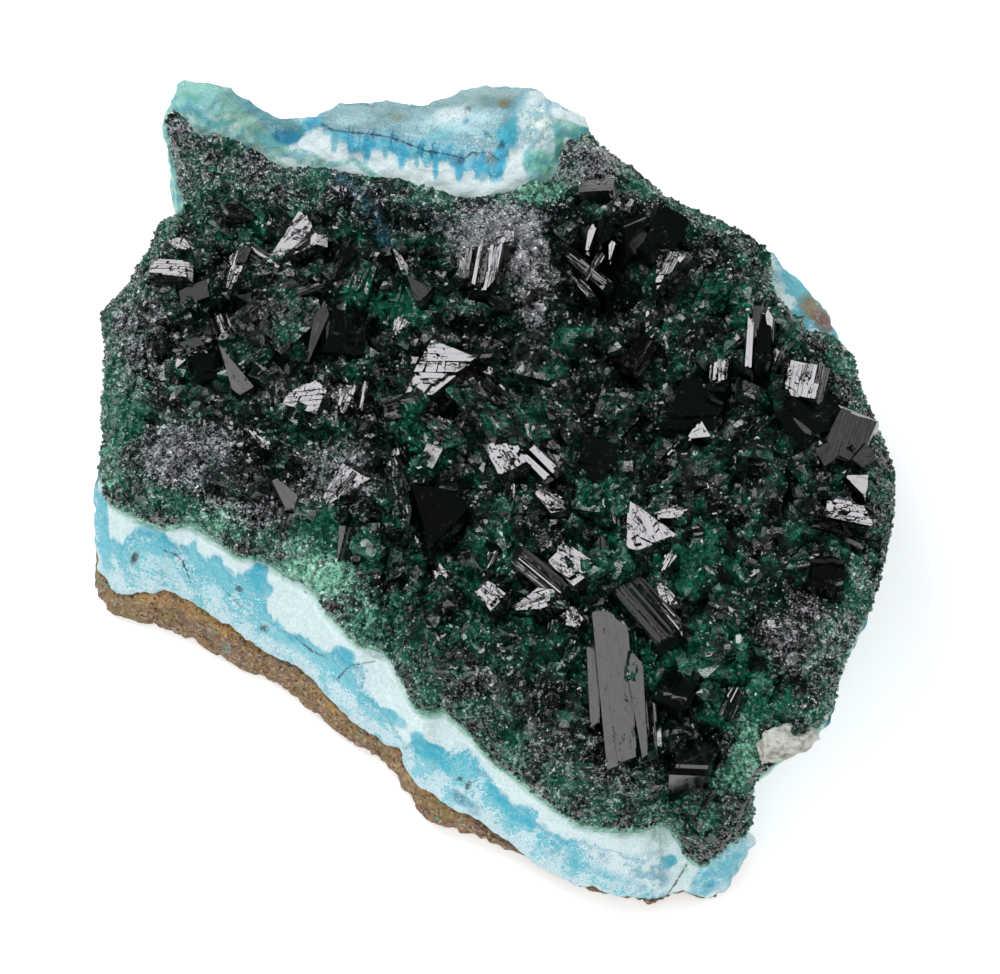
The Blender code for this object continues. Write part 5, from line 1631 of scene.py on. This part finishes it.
def drawn_in(places):
    """The places with those in the listed zones moved in below the crust."""
    seen = pixels(places)
    for spot, (right, up) in DRAWN_BACK:
        share = zone(seen, [spot])[:, None]
        places = places + share * (np.array((right, 0, 0)) + up * np.array(VIEW_UP))
    return places


def make_band():
    """The blue and white band."""
    places, faces = finely_broken("chrysocolla_band", seen_band)
    mesh = mesh_of(drawn_in(places), faces)
    set_marks(mesh, band_marks(corners_of(mesh), facing_viewer(mesh)))
    add_piece("blue_band", mesh, finish_band(), "chrysocolla_band", "chrysocolla", True)


def make_skin():
    """The brown skin."""
    places, faces = finely_broken("limonite_base", seen_skin)
    mesh = mesh_of(drawn_in(places), faces)
    add_piece("brown_skin", mesh, finish_skin(), "limonite_base", "limonite", True)


def make_chip():
    """The pale chip."""
    places, faces = finely_broken("quartz_chip", seen_chip)
    add_piece("pale_chip", mesh_of(places, faces), finish_chip(), "quartz_chip", "quartz", True)


def make_crust():
    """The crust: its ground, its crystals and its grains."""
    node, slot = "clinoatacamite_crust", "clinoatacamite"
    ground_finish, crystal_finish, grain_finish = finish_ground(), finish_crystal(), finish_grain()
    places, faces = ground_mesh()
    ground = mesh_of(places, faces)
    corners = corners_of(ground)
    rim = edge_distance(corners[:, :2], RIM)
    marks = crust_marks(corners)
    set_marks(ground, marks)
    top = bed_heights(corners[:, :2], rim) + 0.5 < corners[:, 2]
    tree = druse_tree(grain_shapes())
    edge = smooth_step(-rim, -4.5, -1.5)
    top = top * (1 - zone(pixels(corners), SHADED_HOLLOWS)) * (1 - 0.65 * zone(pixels(corners), PALE_ZONES))
    layers = [
        ("edge_druse", grain_finish, edge * top),
        ("fine_druse", ground_finish, (1 - edge) * top),
        ("coarse_druse", ground_finish, smooth_step(rim, 2.0, 4.0) * top),
    ]
    for name, finish, room in layers:
        set_marks(ground, {"room": room})
        mesh = strew_grains(ground, tree, finish, *DRUSE[name])
        set_marks(mesh, crust_marks(corners_of(mesh)))
        add_piece(name, mesh, finish, node, slot)
    add_piece("crust_ground", ground, ground_finish, node, slot)
    listed, strewn = grow_crystals()
    add_piece("main_crystals", listed, crystal_finish, node, slot)
    add_piece("small_crystals", strewn, crystal_finish, node, slot)


# Soft boxes: name, direction from the specimen, width and height in metres, radiance, and
# whether crystal faces mirror it.
LIGHT_DISTANCE = 0.9
SOFT_BOXES = [
    ("key", (-0.456, 0.347, 0.821), 0.46, 0.46, 6.5, True),
    ("side", (0.798, 0.152, 0.586), 0.30, 0.45, 6.0, True),
    ("front", (0.143, -0.36, 0.923), 0.34, 0.34, 1.7, True),
    ("left", (-0.896, -0.194, 0.394), 0.25, 0.5, 3.0, True),
    ("top", (0.0, -0.10, 0.995), 1.0, 0.34, 0.75, True),
    ("fill", (-0.10, -0.62, 0.78), 0.9, 0.6, 3.2, False),
    ("low", (-0.35, -0.90, 0.28), 1.1, 0.35, 0.7, False),
]
# Colour and strength of the dim room and of what the camera sees of it.
ROOM = ((0.95, 0.97, 1.0), 0.04)
BACKDROP = ((1.0, 1.0, 1.0), 1.0)


def make_light():
    """The soft boxes, and a dim room that is white only where the camera looks into it."""
    for name, direction, width, height, radiance, mirrored in SOFT_BOXES:
        light = bpy.data.lights.new(f"{name} soft box", "AREA")
        light.shape = "RECTANGLE"
        light.size, light.size_y = width, height
        light.energy = radiance * math.pi * width * height
        lamp = into_scene(light.name, light)
        away = Vector(direction).normalized()
        lamp.visible_glossy = mirrored
        lamp.location = VIEW_MIDDLE * MM + away * LIGHT_DISTANCE
        lamp.rotation_euler = away.to_track_quat("Z", "Y").to_euler()
    world = bpy.data.worlds.new("studio")
    bpy.context.scene.world = world
    world.use_nodes = True
    wiring = Wiring(world.node_tree)
    room, backdrop = (
        wiring.add("ShaderNodeBackground", {"Color": colour, "Strength": strength})
        for colour, strength in (ROOM, BACKDROP)
    )
    seen = wiring.add("ShaderNodeLightPath", {}, "Is Camera Ray")
    mixed = wiring.add("ShaderNodeMixShader", {0: seen, 1: room, 2: backdrop})
    wiring.join(mixed, world.node_tree.nodes["World Output"].inputs[0])
    world.node_tree.nodes.remove(world.node_tree.nodes["Background"])


def make_table():
    """A plain pale table."""
    bm = bmesh.new()
    bmesh.ops.create_grid(bm, x_segments=2, y_segments=2, size=1.5)
    mesh = bpy.data.meshes.new("table")
    bm.to_mesh(mesh)
    bm.free()
    white = Finish(
        "white table", Roughness=0.9, Specular_IOR_Level=0.1, Emission_Color=(1.0, 1.0, 1.0, 1.0),
        Emission_Strength=0.38,
    )
    grain = white.cloud(white.place(), 6.0)
    white.paint("Base Color", white.blend(grain, (0.74, 0.74, 0.74), (0.77, 0.77, 0.77)))
    mesh.materials.append(white.material)
    table = into_scene("table", mesh)
    table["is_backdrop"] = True


def make_camera():
    """The camera at the photograph's angle, far off with a long lens."""
    camera = bpy.data.cameras.new("camera")
    camera.lens, camera.sensor_width = LENS, SENSOR
    camera.clip_start, camera.clip_end = 0.01, 20.0
    seat = into_scene("camera", camera)
    distance = MM_PER_PIXEL * LENS / SENSOR
    seat.location = VIEW_MIDDLE * MM + TOWARDS_VIEWER * distance
    seat.rotation_euler = (-TOWARDS_VIEWER).to_track_quat("-Z", "Y").to_euler()
    bpy.context.scene.camera = seat
    bpy.context.scene.view_settings.view_transform = "Standard"


make_camera()
make_light()
make_table()
make_skin()
make_band()
make_crust()
make_chip()

boxes = {"cad": cad_box, "visual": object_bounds()}
{name: [list(map(float, corner)) for corner in box] for name, box in boxes.items()}
